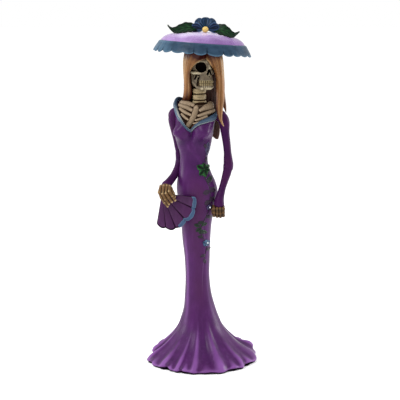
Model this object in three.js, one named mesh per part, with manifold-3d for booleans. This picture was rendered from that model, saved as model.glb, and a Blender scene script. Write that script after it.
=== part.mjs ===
// Papier-mache catrina: a tall skeleton lady in a fitted gown, with a wide ruffled hat and a folded fan.
// Millimetres, +Z up, the front looks towards -Y. The "fan side" is -X, the "free side" is +X.
import * as THREE from "three";
import { mergeVertices } from "three/addons/utils/BufferGeometryUtils.js";
import Module from "manifold-3d";

const wasm = await Module();
wasm.setup();
const { Manifold, Mesh } = wasm;

// ------------------------------------------------------------------ driving dimensions
const GAP = 0.35; // clearance left between neighbouring pieces
const WALL = 2.4; // paper shell of the gown
const HEM_FOLDS = 14; // flutes around the hem
const HEM_POINTS = 56; // points around one ring of the gown
const DOWEL = { x: -2.6, r: 2.6, bottom: 0.8, top: 378.4 }; // armature stick, hem to hat
const BOARD = { r: 50, top: 4 }; // wooden base inside the hem
const NECK = { r: 7.3, foot: 299.2, pitch: 6.9, height: 5.9 }; // stacked neck drums
const HEAD = { x: -0.5, y: -1, turn: 38 }; // the head looks towards the free side
const HAT = { x: 1, z: 369.4, tilt: 4, rim: 48, dome: 13, ruffle: 56.4, drop: 9.7, crimps: 24 };
const FAN = { x: -45.3, z: 200, thick: 1.6 }; // pivot under the hand
const FAN_EDGES = [-10, 6, 21, 42, 66, 86]; // degrees from straight down, between the leaves
const FAN_REACH = [35.5, 39.5, 42.5, 40.2, 40, 37.4]; // pivot to rim at each edge
const FAN_FOLDS = [0, 1.6, 0, 1.8, 0, 1.4]; // how far each edge stands forward
const FAN_BULGE = [0.055, 0.055, 0.04, 0.08, 0.035]; // rounding of each leaf's rim
const TRIM = { over: 0.4, under: 3.4, low: 0.4, high: 1.5 }; // blue edging across the rim

// Gown stations from hem to shoulder: height, centre x, half width, half depth.
const GOWN = [
  [0.4, 0, 64, 64], [3, 0, 62.4, 62.4], [6.5, 0, 59.4, 59.4], [12, -0.1, 53.4, 53], [18, -0.4, 46.2, 45.4],
  [25, -0.6, 38.8, 38], [32, -0.8, 32.2, 31.8], [40, -1.1, 26.6, 26.2], [50, -1.7, 22.5, 22],
  [62, -2.5, 18.9, 18.6], [78, -3.9, 15.8, 15.9], [100, -4.6, 13.8, 14.4], [122, -4.9, 14.4, 14.8],
  [145, -5.8, 16, 16], [165, -5.7, 17.5, 17], [186, -4.7, 21, 18.6], [202, -4.9, 23.2, 19.4],
  [212, -6.1, 21.8, 18.4], [223, -7.9, 18.6, 15.6], [234, -8.9, 16.1, 13.2], [244, -8.9, 16.2, 13],
  [254, -8.8, 19.6, 14.2], [262, -9.2, 21.6, 15], [268, -8.8, 22.3, 15.3], [275, -8.2, 22.6, 15.6],
  [285, -7.5, 23.8, 15.4], [294, -7.4, 24.8, 14.6], [300, -7.6, 23.6, 13.8], [305, -7, 19.5, 12.6],
  [309, -5, 12, 10],
];
const CHEST_TURN = -18; // degrees the shoulders are turned from the hips
const BUST = [{ at: -55, out: 7.5 }, { at: 28, out: 7.5 }]; // angle from the front, swell
const NECKLINE = [ // closed curve of the open neckline
  [-17, -20, 277], [-23.4, -14, 285.4], [-27.6, -6, 293], [-28, 3, 301], [-22.5, 13.5, 307],
  [-5, 19, 308], [12, 14, 304], [20, 0, 299.6], [15.4, -11.6, 292.4], [0, -19.2, 285],
];

// ------------------------------------------------------------------ shape helpers
const V = (x, y, z) => new THREE.Vector3(x, y, z);
const rad = THREE.MathUtils.degToRad;
const lerp = THREE.MathUtils.lerp;
const bell = (x, width) => Math.exp(-0.5 * (x / width) ** 2);

// A solid from points and triangle indices: doubled points are joined and faces turned outwards.
function fromPoints(points, faces) {
  const soup = new THREE.BufferGeometry().setFromPoints(faces.map((i) => points[i]));
  return solid(soup);
}

function solid(geometry) {
  const loose = geometry.index ? geometry.toNonIndexed() : geometry;
  const bare = new THREE.BufferGeometry().setAttribute("position", loose.getAttribute("position"));
  const joined = mergeVertices(bare, 1e-4);
  const index = joined.index.array;
  const tri = [];
  for (let i = 0; i < index.length; i += 3) {
    const [a, b, c] = [index[i], index[i + 1], index[i + 2]];
    if (a !== b && b !== c && c !== a) tri.push(a, b, c);
  }
  const make = (list) =>
    new Manifold(new Mesh({ numProp: 3, vertProperties: joined.attributes.position.array,
      triVerts: new Uint32Array(list) }));
  const made = make(tri);
  return made.volume() < 0 ? make(tri.reverse()) : made;
}

function geometryOf(body) {
  const m = body.getMesh();
  const v = new Float32Array(m.numVert * 3);
  for (let i = 0; i < m.numVert; i++)
    v.set(m.vertProperties.subarray(i * m.numProp, i * m.numProp + 3), i * 3);
  return new THREE.BufferGeometry().setAttribute("position", new THREE.BufferAttribute(v, 3))
    .setIndex(new THREE.BufferAttribute(m.triVerts, 1));
}

// A closed skin through equal-count rings: capped at both ends, or joined end to end as a loop.
function skin(rings, loop = false) {
  const [n, m] = [rings[0].length, rings.length];
  const points = rings.flat();
  const faces = [];
  for (let i = 0; i < (loop ? m : m - 1); i++)
    for (let j = 0; j < n; j++) {
      const a = i * n + j, b = i * n + (j + 1) % n;
      const c = ((i + 1) % m) * n + j, d = ((i + 1) % m) * n + (j + 1) % n;
      faces.push(a, b, d, a, d, c);
    }
  if (!loop)
    for (const i of [0, m - 1]) {
      const middle = rings[i].reduce((s, p) => s.add(p), V(0, 0, 0)).divideScalar(n);
      const k = points.push(middle) - 1;
      for (let j = 0; j < n; j++) {
        const a = i * n + j, b = i * n + (j + 1) % n;
        faces.push(k, ...(i ? [a, b] : [b, a]));
      }
    }
  return fromPoints(points, faces);
}

// A rounded limb along stations [x, y, z, radius].
function limb(stations, sides = 8, rounded = true) {
  const at = stations.map(([x, y, z]) => V(x, y, z));
  const radii = stations.map((s) => s[3]);
  if (rounded) {
    const extend = (p, q, r) => p.clone().add(p.clone().sub(q).setLength(r * 0.65));
    const first = extend(at[0], at[1], radii[0]);
    const last = extend(at.at(-1), at.at(-2), radii.at(-1));
    at.unshift(first);
    at.push(last);
    radii.unshift(radii[0] * 0.5);
    radii.push(radii.at(-1) * 0.5);
  }
  let across = null;
  return skin(at.map((p, i) => {
    const along = at[Math.min(i + 1, at.length - 1)].clone().sub(at[Math.max(i - 1, 0)]).normalize();
    if (!across) across = Math.abs(along.x) < 0.8 ? V(1, 0, 0) : V(0, 1, 0);
    across = across.clone().addScaledVector(along, -across.dot(along)).normalize();
    const up = along.clone().cross(across);
    return circle(sides, (c, s) => p.clone().addScaledVector(across, radii[i] * c)
      .addScaledVector(up, radii[i] * s));
  }));
}

function circle(n, point) {
  return Array.from({ length: n }, (_, j) => {
    const t = (2 * Math.PI * j) / n;
    return point(Math.cos(t), Math.sin(t), t);
  });
}

// An ellipsoid at (x, y, z) with half axes.
function egg([x, y, z], [a, b, c], segments = 14) {
  const g = new THREE.SphereGeometry(1, segments, Math.round(segments * 0.7)).rotateX(Math.PI / 2);
  return solid(g.scale(a, b, c).translate(x, y, z));
}

// A turned body from [radius, height] pairs.
function turned(profile, sides = 24) {
  const points = profile.map(([r, z]) => new THREE.Vector2(r, z));
  return solid(new THREE.LatheGeometry(points, sides).rotateX(Math.PI / 2));
}

const disc = (r, low, high, sides = 24) => turned([[0, low], [r, low], [r, high], [0, high]], sides);
const join = (bodies) => bodies.reduce((a, b) => a.add(b));

// The body with every face moved outwards by d.
function grown(body, d) {
  const g = geometryOf(body);
  const p = g.attributes.position;
  const index = g.index.array;
  const normals = Array.from({ length: p.count }, () => []);
  const [a, b, c] = [V(0, 0, 0), V(0, 0, 0), V(0, 0, 0)];
  for (let i = 0; i < index.length; i += 3) {
    [a, b, c].forEach((v, k) => v.fromBufferAttribute(p, index[i + k]));
    const n = b.clone().sub(a).cross(c.clone().sub(a));
    for (let k = 0; k < 3; k++) normals[index[i + k]].push(n);
  }
  normals.forEach((list, i) => {
    const mean = list.reduce((s, n) => s.add(n), V(0, 0, 0)).normalize();
    const least = Math.min(...list.filter((n) => n.length() > 1e-4)
      .map((n) => mean.dot(n) / n.length()), 1);
    a.fromBufferAttribute(p, i).addScaledVector(mean, d / Math.max(least, 0.45));
    p.setXYZ(i, a.x, a.y, a.z);
  });
  return solid(g);
}

// ------------------------------------------------------------------ gown surface
const smooth = (low, high, x) => THREE.MathUtils.smoothstep(x, low, high);

function station(z) {
  const above = GOWN.findIndex((s) => s[0] >= z);
  const i = above < 0 ? GOWN.length - 1 : Math.max(above, 1);
  const t = THREE.MathUtils.clamp((z - GOWN[i - 1][0]) / (GOWN[i][0] - GOWN[i - 1][0]), 0, 1);
  return GOWN[i].map((v, k) => lerp(GOWN[i - 1][k], v, t));
}

// Distance from the gown's centre line to its outer face, at a height and an angle from the front.
function gownRadius(z, angle) {
  const [, , wide, deep] = station(z);
  const local = angle - rad(CHEST_TURN) * smooth(232, 262, z);
  let r = 1 / Math.hypot(Math.sin(local) / wide, Math.cos(local) / deep);
  for (const b of BUST) r += b.out * bell(angle - rad(b.at), rad(22)) * bell(z - 271, 7);
  const flute = 2.4 * (1 - smooth(2, 58, z));
  return r + flute * (Math.cos(HEM_FOLDS * angle) - 0.4);
}

// The hem rides up off the floor behind and a little at the sides.
const hemLift = (angle) => 8 * bell(angle - rad(140), rad(24)) + 3.5 * bell(angle + rad(120), rad(30));

function gownPoint(z, angle, inset = 0) {
  const r = gownRadius(z, angle) - inset;
  const lift = hemLift(angle) * (1 - smooth(0, 22, z));
  return V(station(z)[1] + r * Math.sin(angle), -r * Math.cos(angle), z + lift);
}

// The point of the front of the gown at x and z, sunk in by the inset.
function onFront(x, z, inset = 0) {
  let [low, high] = [rad(-85), rad(85)];
  for (let i = 0; i < 30; i++) {
    const middle = (low + high) / 2;
    if (gownPoint(z, middle, inset).x < x) low = middle;
    else high = middle;
  }
  return gownPoint(z, low, inset);
}

// The fluted hem needs twice the points of the plain body above it.
function gownSolid(inset, heights, points) {
  const step = (4 * Math.PI) / points;
  const at = (z, t) => (z < 55 ? t : Math.floor(t / step + 1e-6) * step);
  return skin(heights.map((z) => circle(points, (c, s, t) => gownPoint(z, at(z, t), inset(z)))));
}

// Directions from a point inside the chest to the neckline, widened by a margin.
const EYE = V(-6, 3, 262);
function neckRays(margin, count) {
  const axis = V(-5, 0, 294).sub(EYE).normalize();
  const curve = new THREE.CatmullRomCurve3(NECKLINE.map((p) => V(...p)), true, "centripetal");
  return curve.getPoints(count).slice(0, count).map((p) => {
    const side = p.clone().sub(EYE);
    side.addScaledVector(axis, -side.dot(axis)).normalize();
    return p.clone().addScaledVector(side, margin).sub(EYE);
  });
}

function neckCone(margin) {
  const rays = neckRays(margin, 36);
  return skin([0.05, 1, 1.9].map((k) => rays.map((v) => EYE.clone().addScaledVector(v, k))));
}

// How far a point is outside the gown, sideways.
function outside(p) {
  const x = p.x - station(p.z)[1];
  return Math.hypot(x, p.y) - gownRadius(p.z, Math.atan2(x, -p.y));
}

// Where a ray from the chest leaves the gown, lifted off it by a height.
function gownHit(ray, height) {
  let [low, high] = [0.2, 1.8];
  for (let i = 0; i < 24; i++) {
    const t = (low + high) / 2;
    if (outside(EYE.clone().addScaledVector(ray, t)) < 0) low = t;
    else high = t;
  }
  const p = EYE.clone().addScaledVector(ray, low);
  const slope = (dx, dy, dz) => outside(p.clone().add(V(dx, dy, dz))) - outside(p.clone().sub(V(dx, dy, dz)));
  const normal = V(slope(1.5, 0, 0), slope(0, 1.5, 0), slope(0, 0, 1.5)).normalize();
  return p.addScaledVector(normal, height);
}

// ------------------------------------------------------------------ placing the pieces
const pieces = [];
const apart = (a, b) => ["min", "max"].some((k, i) =>
  [0, 1, 2].some((n) => (i ? a.min[n] > b.max[n] : b.min[n] > a.max[n])));

// Adds a piece: it is cut back from each piece already there. hull is what later pieces keep out of,
// the piece as it was before cutting unless given, and inside marks a piece that sits within an
// earlier hull and only keeps off its real walls.
function place(name, body, colour, { hull = body, inside = false, slack = 0.06 } = {}) {
  for (const other of pieces) {
    const guard = inside ? other.near : other.far;
    if (!apart(body.boundingBox(), guard.boundingBox())) body = body.subtract(guard);
  }
  body = body.simplify(slack).decompose().sort((a, b) => b.volume() - a.volume())[0];
  const near = grown(body, GAP);
  pieces.push({ name, body, colour, near, far: hull === body ? near : grown(hull, GAP) });
  return body;
}

// ------------------------------------------------------------------ sub-parts
function base() {
  const at = (body) => body.translate(DOWEL.x, 0, 0);
  const dowel = at(disc(DOWEL.r, DOWEL.bottom, DOWEL.top, 14));
  place("spine_dowel", dowel, 0xb98f5c);
  place("base_board", disc(BOARD.r, 0, BOARD.top, 40), 0x8a6a44);
  place("ballast_plaster", turned([[0, 4.4], [47, 4.4], [36, 18], [10, 24], [0, 24]], 24), 0xd8d2c4);
}

// The paper shell over its rolled core; returns the outer form, which the trimmings lie on.
function gown() {
  const heights = GOWN.map((s) => s[0]);
  const outer = gownSolid(() => 0, heights, HEM_POINTS).simplify(0.15);
  const linerHeights = [-1.5, 3, 8, 18, 30, 46, 66, 100, 145, 186, 203, 223, 238, 254, 275, 294, 303];
  const liner = gownSolid((z) => (z < 20 ? 4.2 : WALL), linerHeights, 28).simplify(0.1);
  const coreHeights = [70, 100, 145, 186, 203, 223, 238, 254, 275, 288, 298.4];
  const core = gownSolid(() => WALL + 0.9, coreHeights, 28);
  place("torso_core", core, 0x2a211d);
  const opening = neckCone(0);
  const shell = outer.subtract(liner).subtract(opening);
  place("gown_shell", shell, 0x66336b, { hull: outer, slack: 0.12 });
  collar();
  return outer;
}

// The raised collar band, in two halves that meet at the point of the neckline and behind the neck.
function collar() {
  const section = [[0.2, 0.4], [0.5, 2.4], [2.6, 2.7], [4.7, 1.6], [5.1, 0.4]];
  const taper = (i) => 0.5 + 0.9 * smooth(0, 7, Math.min(i, 32 - i));
  const lines = section.map(([margin, h]) =>
    Array.from({ length: 32 }, (_, i) => gownHit(neckRays(margin * taper(i), 32)[i], h)));
  const ring = (i) => lines.map((line) => line[i % 32]);
  const half = (from, to) => {
    const rings = Array.from({ length: to - from + 1 }, (_, i) => ring(from + i));
    const trim = (a, b) => a.map((p, k) => p.clone().lerp(b[k], 0.5 * GAP / p.distanceTo(b[k])));
    rings[0] = trim(rings[0], rings[1]);
    rings.push(trim(rings.pop(), rings.at(-1)));
    return skin(rings);
  };
  place("collar_fan_side", half(0, 16), 0x5d7195, { inside: true });
  place("collar_free_side", half(16, 32), 0x5d7195, { inside: true });
}

// A bone lying on the chest between points given as [x, z].
function chestBone(name, list, r, inset = 1.6) {
  const stations = list.map(([x, z, k = 1]) => {
    const p = onFront(x, z, inset);
    return [p.x, p.y, z, r * k];
  });
  place(name, limb(stations, 8).intersect(neckCone(-0.5)), 0xa58f6c, { inside: true });
}

function chestBones() {
  chestBone("sternum", [[-7.2, 295, 1.1], [-9.4, 290], [-12.2, 284], [-14.6, 279.4, 0.75]], 3.5, 2.4);
  chestBone("clavicle_fan_side", [[-25, 300.4, 0.9], [-18.8, 299], [-13, 296, 1.1]], 2.3, 1.4);
  chestBone("clavicle_free_side", [[-1.6, 294.8, 1.1], [4.6, 296.8], [13.4, 299, 1.1]], 2.5, 1.4);
  chestBone("rib_fan_side_1", [[-15.8, 289.6], [-19.4, 291.4], [-24, 294.4]], 1.7);
  chestBone("rib_fan_side_2", [[-17.4, 284.6], [-19.2, 286], [-21.4, 288]], 1.3);
  chestBone("rib_free_side_1", [[-4.4, 288.8], [1, 290], [9.6, 292.4]], 1.8);
  chestBone("rib_free_side_2", [[-6.8, 284.2], [-2.4, 285], [3.6, 287]], 1.6);
  chestBone("rib_free_side_3", [[-9.6, 280.6], [-7.2, 281], [-3.6, 282.2]], 1.2);
}

function neck() {
  for (let i = 0; i < 3; i++) {
    const low = NECK.foot + i * NECK.pitch;
    const high = low + NECK.height;
    const r = NECK.r - 0.25 * i;
    const bore = DOWEL.r + GAP;
    const drum = turned([[bore, low], [r - 1, low], [r, low + 1.3], [r - 0.5, (low + high) / 2],
      [r, high - 1.3], [r - 1, high], [bore, high], [bore, low]], 16);
    place("neck_vertebra_" + (i + 1), drum.translate(DOWEL.x, 0, 0), 0xa39772, { inside: true });
  }
}

// Head parts are drawn looking straight ahead, then turned to the free side.
const onHead = (body) => body.rotate([0, 0, HEAD.turn]).translate(HEAD.x, HEAD.y, 0);

function skull() {
  const cranium = egg([0, 2, 349], [13.8, 15.5, 14.6]);
  const face = egg([0, -5, 337], [9.4, 8.6, 12], 10);
  const jawTop = egg([0, -7.5, 332], [7.4, 6.2, 4.8], 10);
  const cheeks = [-1, 1].map((s) =>
    limb([[s * 11.8, 1, 338, 1.6], [s * 10.8, -6, 337, 2], [s * 6.5, -10.5, 334.5, 2.2]], 6));
  const brows = [-1, 1].map((s) => limb([[s * 3, -12, 350, 2], [s * 10, -8.5, 350.5, 1.9]], 6));
  const bridge = limb([[0, -11.5, 348, 2], [0, -14, 341.5, 1.7]], 6);
  const whole = join([cranium, face, jawTop, ...cheeks, ...brows, bridge]).simplify(0.1);
  let body = whole;
  for (const s of [-1, 1]) body = body.subtract(egg([s * 7.4, -10.5, 344], [4.9, 6.5, 5.2], 10));
  const nose = limb([[0, -14, 340.4, 0.9], [0, -13.2, 337, 2.1]], 6);
  place("skull", onHead(body.subtract(nose)), 0xa8987a, { hull: onHead(whole.hull()), slack: 0.08 });
}

// A row of teeth on an arc: the outer face dips between one tooth and the next.
function teeth(name, low, high, count, r) {
  const rings = [];
  for (let i = 0; i <= count * 3; i++) {
    const t = rad(lerp(-66, 66, i / (count * 3)));
    const out = r + (i % 3 ? 0 : -0.8);
    const at = (k, z) => V(k * Math.sin(t), -4.2 - k * Math.cos(t), z);
    const middle = at(out + 0.2, (low + high) / 2);
    rings.push([at(r - 2.4, low), at(out, low), middle, at(out, high), at(r - 2.4, high)]);
  }
  place(name, onHead(skin(rings)), 0xc0ae84, { inside: true });
}

function jaw() {
  const half = [[10.6, 3.5, 333, 1.9], [10.6, 1, 326, 2.2], [8.6, -5, 320, 2.5], [4.6, -11.4, 318.3, 2.9]];
  const path = [...half.map(([x, ...rest]) => [-x, ...rest]), [0, -13, 318, 3.2], ...half.reverse()];
  place("jaw", onHead(limb(path, 8)), 0xb8a784, { inside: true });
}

// A hank of hair through flattened stations: centre, half width, half depth, turn of the width.
function hank(stations, sides = 16) {
  return skin(stations.map(([x, y, z, a, b, turn = 0]) => circle(sides, (c, s, t) => {
    const strand = 1 + 0.06 * Math.cos(5 * t);
    const p = V(a * c * strand, b * s * strand, 0).applyAxisAngle(V(0, 0, 1), rad(turn));
    return p.add(V(x, y, z));
  })));
}

function hair() {
  place("hair_fan_side", hank([
    [-7, -4, 366.4, 11, 14], [-8.6, -4.6, 358, 11.4, 14.4], [-11.6, -4.4, 350.6, 9, 12.4],
    [-14.6, -3.4, 342, 6.4, 10.4], [-15.8, -2, 333, 4.9, 8.4], [-15.4, 0, 323, 4.6, 7],
    [-16.6, 2, 313, 4.8, 6], [-18, 5, 304, 4.4, 5], [-17.4, 8, 297, 2, 2.4]]), 0x8a6644);
  place("hair_free_side", hank([
    [12.6, -4.6, 366.4, 9.4, 13.4], [13.8, -5, 358, 9.2, 13.6], [16.6, -5.6, 350, 7.4, 11.4],
    [19, -6.4, 341, 5.9, 9], [20.4, -7, 332, 5, 7.4], [21, -8, 321, 4.6, 5.8],
    [20.8, -10, 308, 4.6, 5], [20.4, -12.5, 297, 3.7, 4], [21, -14.6, 286, 2.3, 2.8],
    [24.4, -15.4, 277, 0.7, 1]]), 0x9a6a42);
  place("hair_back", hank([
    [1, 7, 366.4, 17, 11], [1, 8, 358, 20, 13], [1, 9, 346, 21, 13], [1, 11, 330, 21, 11],
    [1, 14, 314, 21, 8.4], [2, 17, 302, 20, 6.4], [5, 18, 290, 17.5, 5.6], [10, 19, 276, 11.5, 5],
    [15, 20, 265, 6, 4], [17.8, 20, 258.5, 1.6, 1.6]], 20), 0x4d2f22);
}

// Hat parts are drawn level about the centre of the brim, then tipped down to the free side.
const onHat = (body) => body.rotate([0, HAT.tilt, 0]).translate(HAT.x, 0, HAT.z);

function hat() {
  const R = HAT.rim;
  const h = HAT.dome;
  const top = [[R, 0], [R - 0.6, 3.4], [R - 4, 5.8], [R - 9, 8], [R - 16, 9.8], [20, 11.6], [9, 12.7],
    [0, h]];
  const under = [[0, h - 3], [20, h - 4.4], [R - 15, 6.2], [R - 5, 2.4], [R - 3.4, 0], [R, 0]];
  place("hat_dome", onHat(turned([...top, ...under], 40)), 0x9c86b6);
  const lining = disc(R - 0.4, -1.8, -0.5, 40);
  place("hat_lining", onHat(lining), 0x5a4a6a);
  const n = HAT.crimps * 3;
  const rings = Array.from({ length: n }, (_, i) => {
    const t = (2 * Math.PI * i) / n;
    const wave = Math.cos(HAT.crimps * t);
    const at = (r, z) => V(r * Math.cos(t), r * Math.sin(t), z);
    const edge = HAT.ruffle - 0.9 + 0.9 * wave;
    const drop = -HAT.drop + 0.7 * wave;
    return [at(R + 1.4, 1.4), at(R + 4.6, -4.4), at(edge, drop), at(edge - 1.7, drop - 0.2),
      at(R + 2.6, -5.2), at(R + 0.4, 0.4)];
  });
  place("hat_ruffle", onHat(skin(rings, true)), 0x49607a);
}

// How far along a petal each section is, and its share of the full width.
const PETAL_SECTIONS = [[0, 0.3], [0.2, 0.66], [0.45, 0.96], [0.7, 1], [0.88, 0.72], [1, 0.25]];

// A petal as a cupped plate: heel point, direction angle from straight up, length, width, lean back.
function petal(name, [x, y, z], angle, long, wide, lean, colour) {
  const rings = PETAL_SECTIONS.map(([t, share]) => {
    const half = wide * share;
    return circle(10, (c, s) => V(half * c, 1.1 * s - 1.6 * c * c * t + lean * t * t, long * t));
  });
  place(name, skin(rings).rotate([0, angle, 0]).translate(x, y, z), colour);
}

function flower() {
  const [x, y, z] = [4, -15, 386];
  const heel = (a, r) => [x + r * Math.sin(rad(a)), y + 2.4, z + r * Math.cos(rad(a))];
  place("flower_centre", egg([x, y, z], [3.5, 3.2, 3.4]), 0xd2ba82);
  petal("flower_petal_1", heel(4, 1.5), 4, 12.4, 6, 4, 0x22406a);
  petal("flower_petal_2", heel(-76, 1.5), -76, 13.2, 5.8, 2, 0x445277);
  petal("flower_petal_3", heel(76, 1.5), 76, 13.2, 5.8, 2, 0x445277);
  petal("flower_petal_4", heel(-36, 4), -37, 11.5, 4.6, 8, 0x4c5c84);
  petal("flower_petal_5", heel(38, 4), 38, 12, 4.6, 8, 0x4c5c84);
}

// A broad leaf lying out along the dome: stations are centre, half width and lean of the blade.
function leaf(name, stations) {
  const rings = stations.map(([x, y, z, half, lean]) => circle(10, (c, s) => {
    const fold = 1.2 * c * c;
    return V(0, half * c, 0.9 * s + fold).applyAxisAngle(V(1, 0, 0), rad(lean)).add(V(x, y, z));
  }));
  place(name, skin(rings), 0x2d4b2f, { slack: 0.01 });
}

function hatLeaves() {
  leaf("hat_leaf_fan_side", [
    [-5, -10, 386.4, 3.4, 42], [-11, -12, 387.2, 6.6, 46], [-18, -14, 387.2, 7.6, 48],
    [-25, -15.6, 385.4, 6.8, 46], [-31, -16.4, 384.2, 4.8, 40], [-35, -16.4, 386.2, 2.6, 30],
    [-38, -16, 390, 0.8, 20]]);
  leaf("hat_leaf_free_side", [
    [13.6, -10, 384.6, 3.4, 42], [19, -12, 384.8, 6.4, 46], [25.4, -14, 384, 7.4, 48],
    [31, -15.6, 381, 6.4, 46], [35.6, -16.4, 379.2, 4.4, 40], [39, -16.4, 380.6, 2.4, 30],
    [42, -16, 382.8, 0.8, 20]]);
}

function sleeves() {
  const free = [[19, -2, 288.5, 6.5], [25, -4, 282.6, 6.6], [26.6, -4, 269, 5.1], [28.6, -4, 256, 4.5],
    [29.8, -4, 244, 4.5], [30.6, -3, 232, 5.9], [29.2, -4.5, 223.5, 5.1], [26.4, -7, 214, 4.4],
    [23.8, -9.8, 206, 4], [21.6, -12, 198, 4.5], [20.2, -13.4, 192, 5.4], [19.9, -13.8, 188, 6.2]];
  const fan = [[-28.4, 6, 292.4, 6], [-31, 7.6, 287.6, 7.7], [-31.4, 8.6, 281, 7], [-30.2, 10, 270, 5.6],
    [-28.4, 11, 258, 4.4], [-26.4, 11.4, 245, 4.2], [-25.8, 10, 233, 4.9], [-28.4, 3, 225, 4.6],
    [-33, -5, 217.5, 4.4], [-38, -12.6, 212, 4.9], [-40.6, -16, 209.6, 5.4]];
  place("sleeve_free_side", limb(free, 14), 0x6a376c);
  place("sleeve_fan_side", limb(fan, 14), 0x6a376c);
}

// Each hand is a palm with five bony fingers; knuckles swell where the stations are thick.
function hand(side, palm, fingers) {
  place("palm_" + side, palm, 0x7d6047);
  fingers.forEach((f, i) => {
    const name = i < 4 ? "finger_" + side + "_" + (i + 1) : "thumb_" + side;
    place(name, limb(f, 7), 0x86694d);
  });
}

function freeHand() {
  const curl = (x, low) => [
    [x, -14.4, 185.4, 1.6], [x, -18, 183, 1.9], [x + 0.2, -18.6, low + 5, 1.5],
    [x + 0.2, -17.4, low + 1.2, 1.7], [x + 0.2, -13.6, low + 1.4, 1.4],
  ];
  const fingers = [14.8, 18.2, 21.6, 24.8].map((x, i) => curl(x, 172 + 0.9 * Math.abs(i - 1.6)));
  fingers.push([[13, -11, 184, 1.6], [11.8, -14.6, 181, 1.6], [12.2, -17, 177, 1.4]]);
  hand("free_side", egg([19.8, -12.8, 179.6], [6.4, 3.4, 6.4]), fingers);
}

function fanHand() {
  const y = -25;
  const fingers = [
    [[-46, y + 3, 209.3, 1.6], [-47.9, y, 203.3, 1.8], [-45.6, y, 196.7, 1.5], [-42, y - 0.4, 191.3, 1.6],
      [-38.8, y + 0.2, 186.7, 1.2]],
    [[-43, y + 2, 209.3, 1.6], [-44.4, y - 1, 201.3, 1.8], [-41.6, y - 1, 194.9, 1.5],
      [-37.6, y - 0.6, 189.3, 1.3]],
    [[-40, y + 2, 209.3, 1.6], [-41, y - 1, 201.9, 1.8], [-38.4, y - 1, 197.3, 1.5],
      [-35, y - 0.6, 192.9, 1.3]],
    [[-37, y + 2, 209.3, 1.6], [-37.2, y - 1, 204.3, 1.8], [-33.8, y - 1, 198.9, 1.5],
      [-30.2, y - 0.6, 193.3, 1.2]],
    [[-35, y + 3.4, 207.7, 1.5], [-32.2, y + 1.4, 201.3, 1.5], [-30.6, y + 2, 197.3, 1.2]],
  ];
  hand("fan_side", egg([-41.6, -21.4, 206.9], [6.4, 3.2, 4.6]), fingers);
}

// The fan's sheet hangs close in front of the gown and slants with it.
function fanPoint(angle, r, out) {
  const x = FAN.x + r * Math.sin(rad(angle));
  return V(x, -15.6 - 0.2 * (x - FAN.x) - out, FAN.z - r * Math.cos(rad(angle)));
}

// Within leaf i, t runs from its lower edge to its upper one.
const fanRim = (i, t) => lerp(FAN_REACH[i], FAN_REACH[i + 1], t) * (1 + FAN_BULGE[i] * Math.sin(Math.PI * t));
const fanFold = (i, t) => lerp(FAN_FOLDS[i], FAN_FOLDS[i + 1], t);
const FAN_STEPS = [0, 0.25, 0.5, 0.75, 1];

// The folded fan hangs from the fingers: five pleated leaves spread from one pivot.
function fan() {
  const clear = 0.5; // degrees between a leaf and its edge
  for (let i = 0; i < 5; i++) {
    const row = (k, t, back) => {
      const angle = lerp(FAN_EDGES[i] + clear, FAN_EDGES[i + 1] - clear, t);
      const reach = k > 0.8 ? fanRim(i, t) : lerp(FAN_REACH[i], FAN_REACH[i + 1], t);
      return fanPoint(angle, reach * k, fanFold(i, t) * k - back);
    };
    const rings = [0.16, 0.5, 0.82, 1].map((k) => [...FAN_STEPS.map((t) => row(k, t, 0)),
      ...FAN_STEPS.toReversed().map((t) => row(k, t, FAN.thick))]);
    place("fan_leaf_" + (i + 1), skin(rings), 0x53305a);
  }
}

// The blue edging runs over the rim of the three upper leaves.
function fanTrim() {
  const rings = [];
  for (const i of [2, 3, 4])
    for (const t of FAN_STEPS.slice(1)) {
      const angle = lerp(FAN_EDGES[i], FAN_EDGES[i + 1], t);
      const [r, out] = [fanRim(i, t), fanFold(i, t)];
      const corner = (dr, height) => fanPoint(angle, r + dr, out + height);
      rings.push([corner(TRIM.over, TRIM.low), corner(TRIM.over, TRIM.high),
        corner(-TRIM.under, TRIM.high), corner(-TRIM.under, TRIM.low)]);
    }
  place("fan_trim", skin(rings), 0x485474);
}

// A flat leaf outline from its heel, pointing at an angle from +x towards +z.
function leafOutline(x, z, angle, long, wide) {
  const [c, s] = [Math.cos(rad(angle)), Math.sin(rad(angle))];
  const at = (u, v) => [x + u * c - v * s, z + u * s + v * c];
  const shape = new THREE.Shape().moveTo(...at(0, 0));
  shape.quadraticCurveTo(...at(long * 0.45, wide), ...at(long, 0));
  return shape.quadraticCurveTo(...at(long * 0.45, -wide), ...at(0, 0));
}

// Outlines drawn on the front plane, pressed onto the gown as a relief of the given height.
function relief(outer, shapes, low, high, segments = 3) {
  const block = join(shapes.map((s) =>
    solid(new THREE.ExtrudeGeometry(s, { depth: 50, bevelEnabled: false, curveSegments: segments })
      .rotateX(Math.PI / 2))));
  return block.intersect(grown(outer, high)).subtract(grown(outer, low));
}

function ribbon(points, half) {
  const curve = new THREE.CatmullRomCurve3(points.map(([x, z]) => V(x, z, 0)));
  const path = curve.getPoints(points.length * 2);
  const side = (k) => path.map((p, i) => {
    const t = curve.getTangent(i / (path.length - 1));
    return new THREE.Vector2(p.x - k * half * t.y, p.y + k * half * t.x);
  });
  return new THREE.Shape([...side(1), ...side(-1).reverse()]);
}

const blossomOutline = (x, z, r) =>
  new THREE.Shape(circle(20, (c, s, t) => {
    const k = r * (0.82 + 0.18 * Math.cos(5 * t));
    return new THREE.Vector2(x + k * c, z + k * s);
  }));

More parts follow.
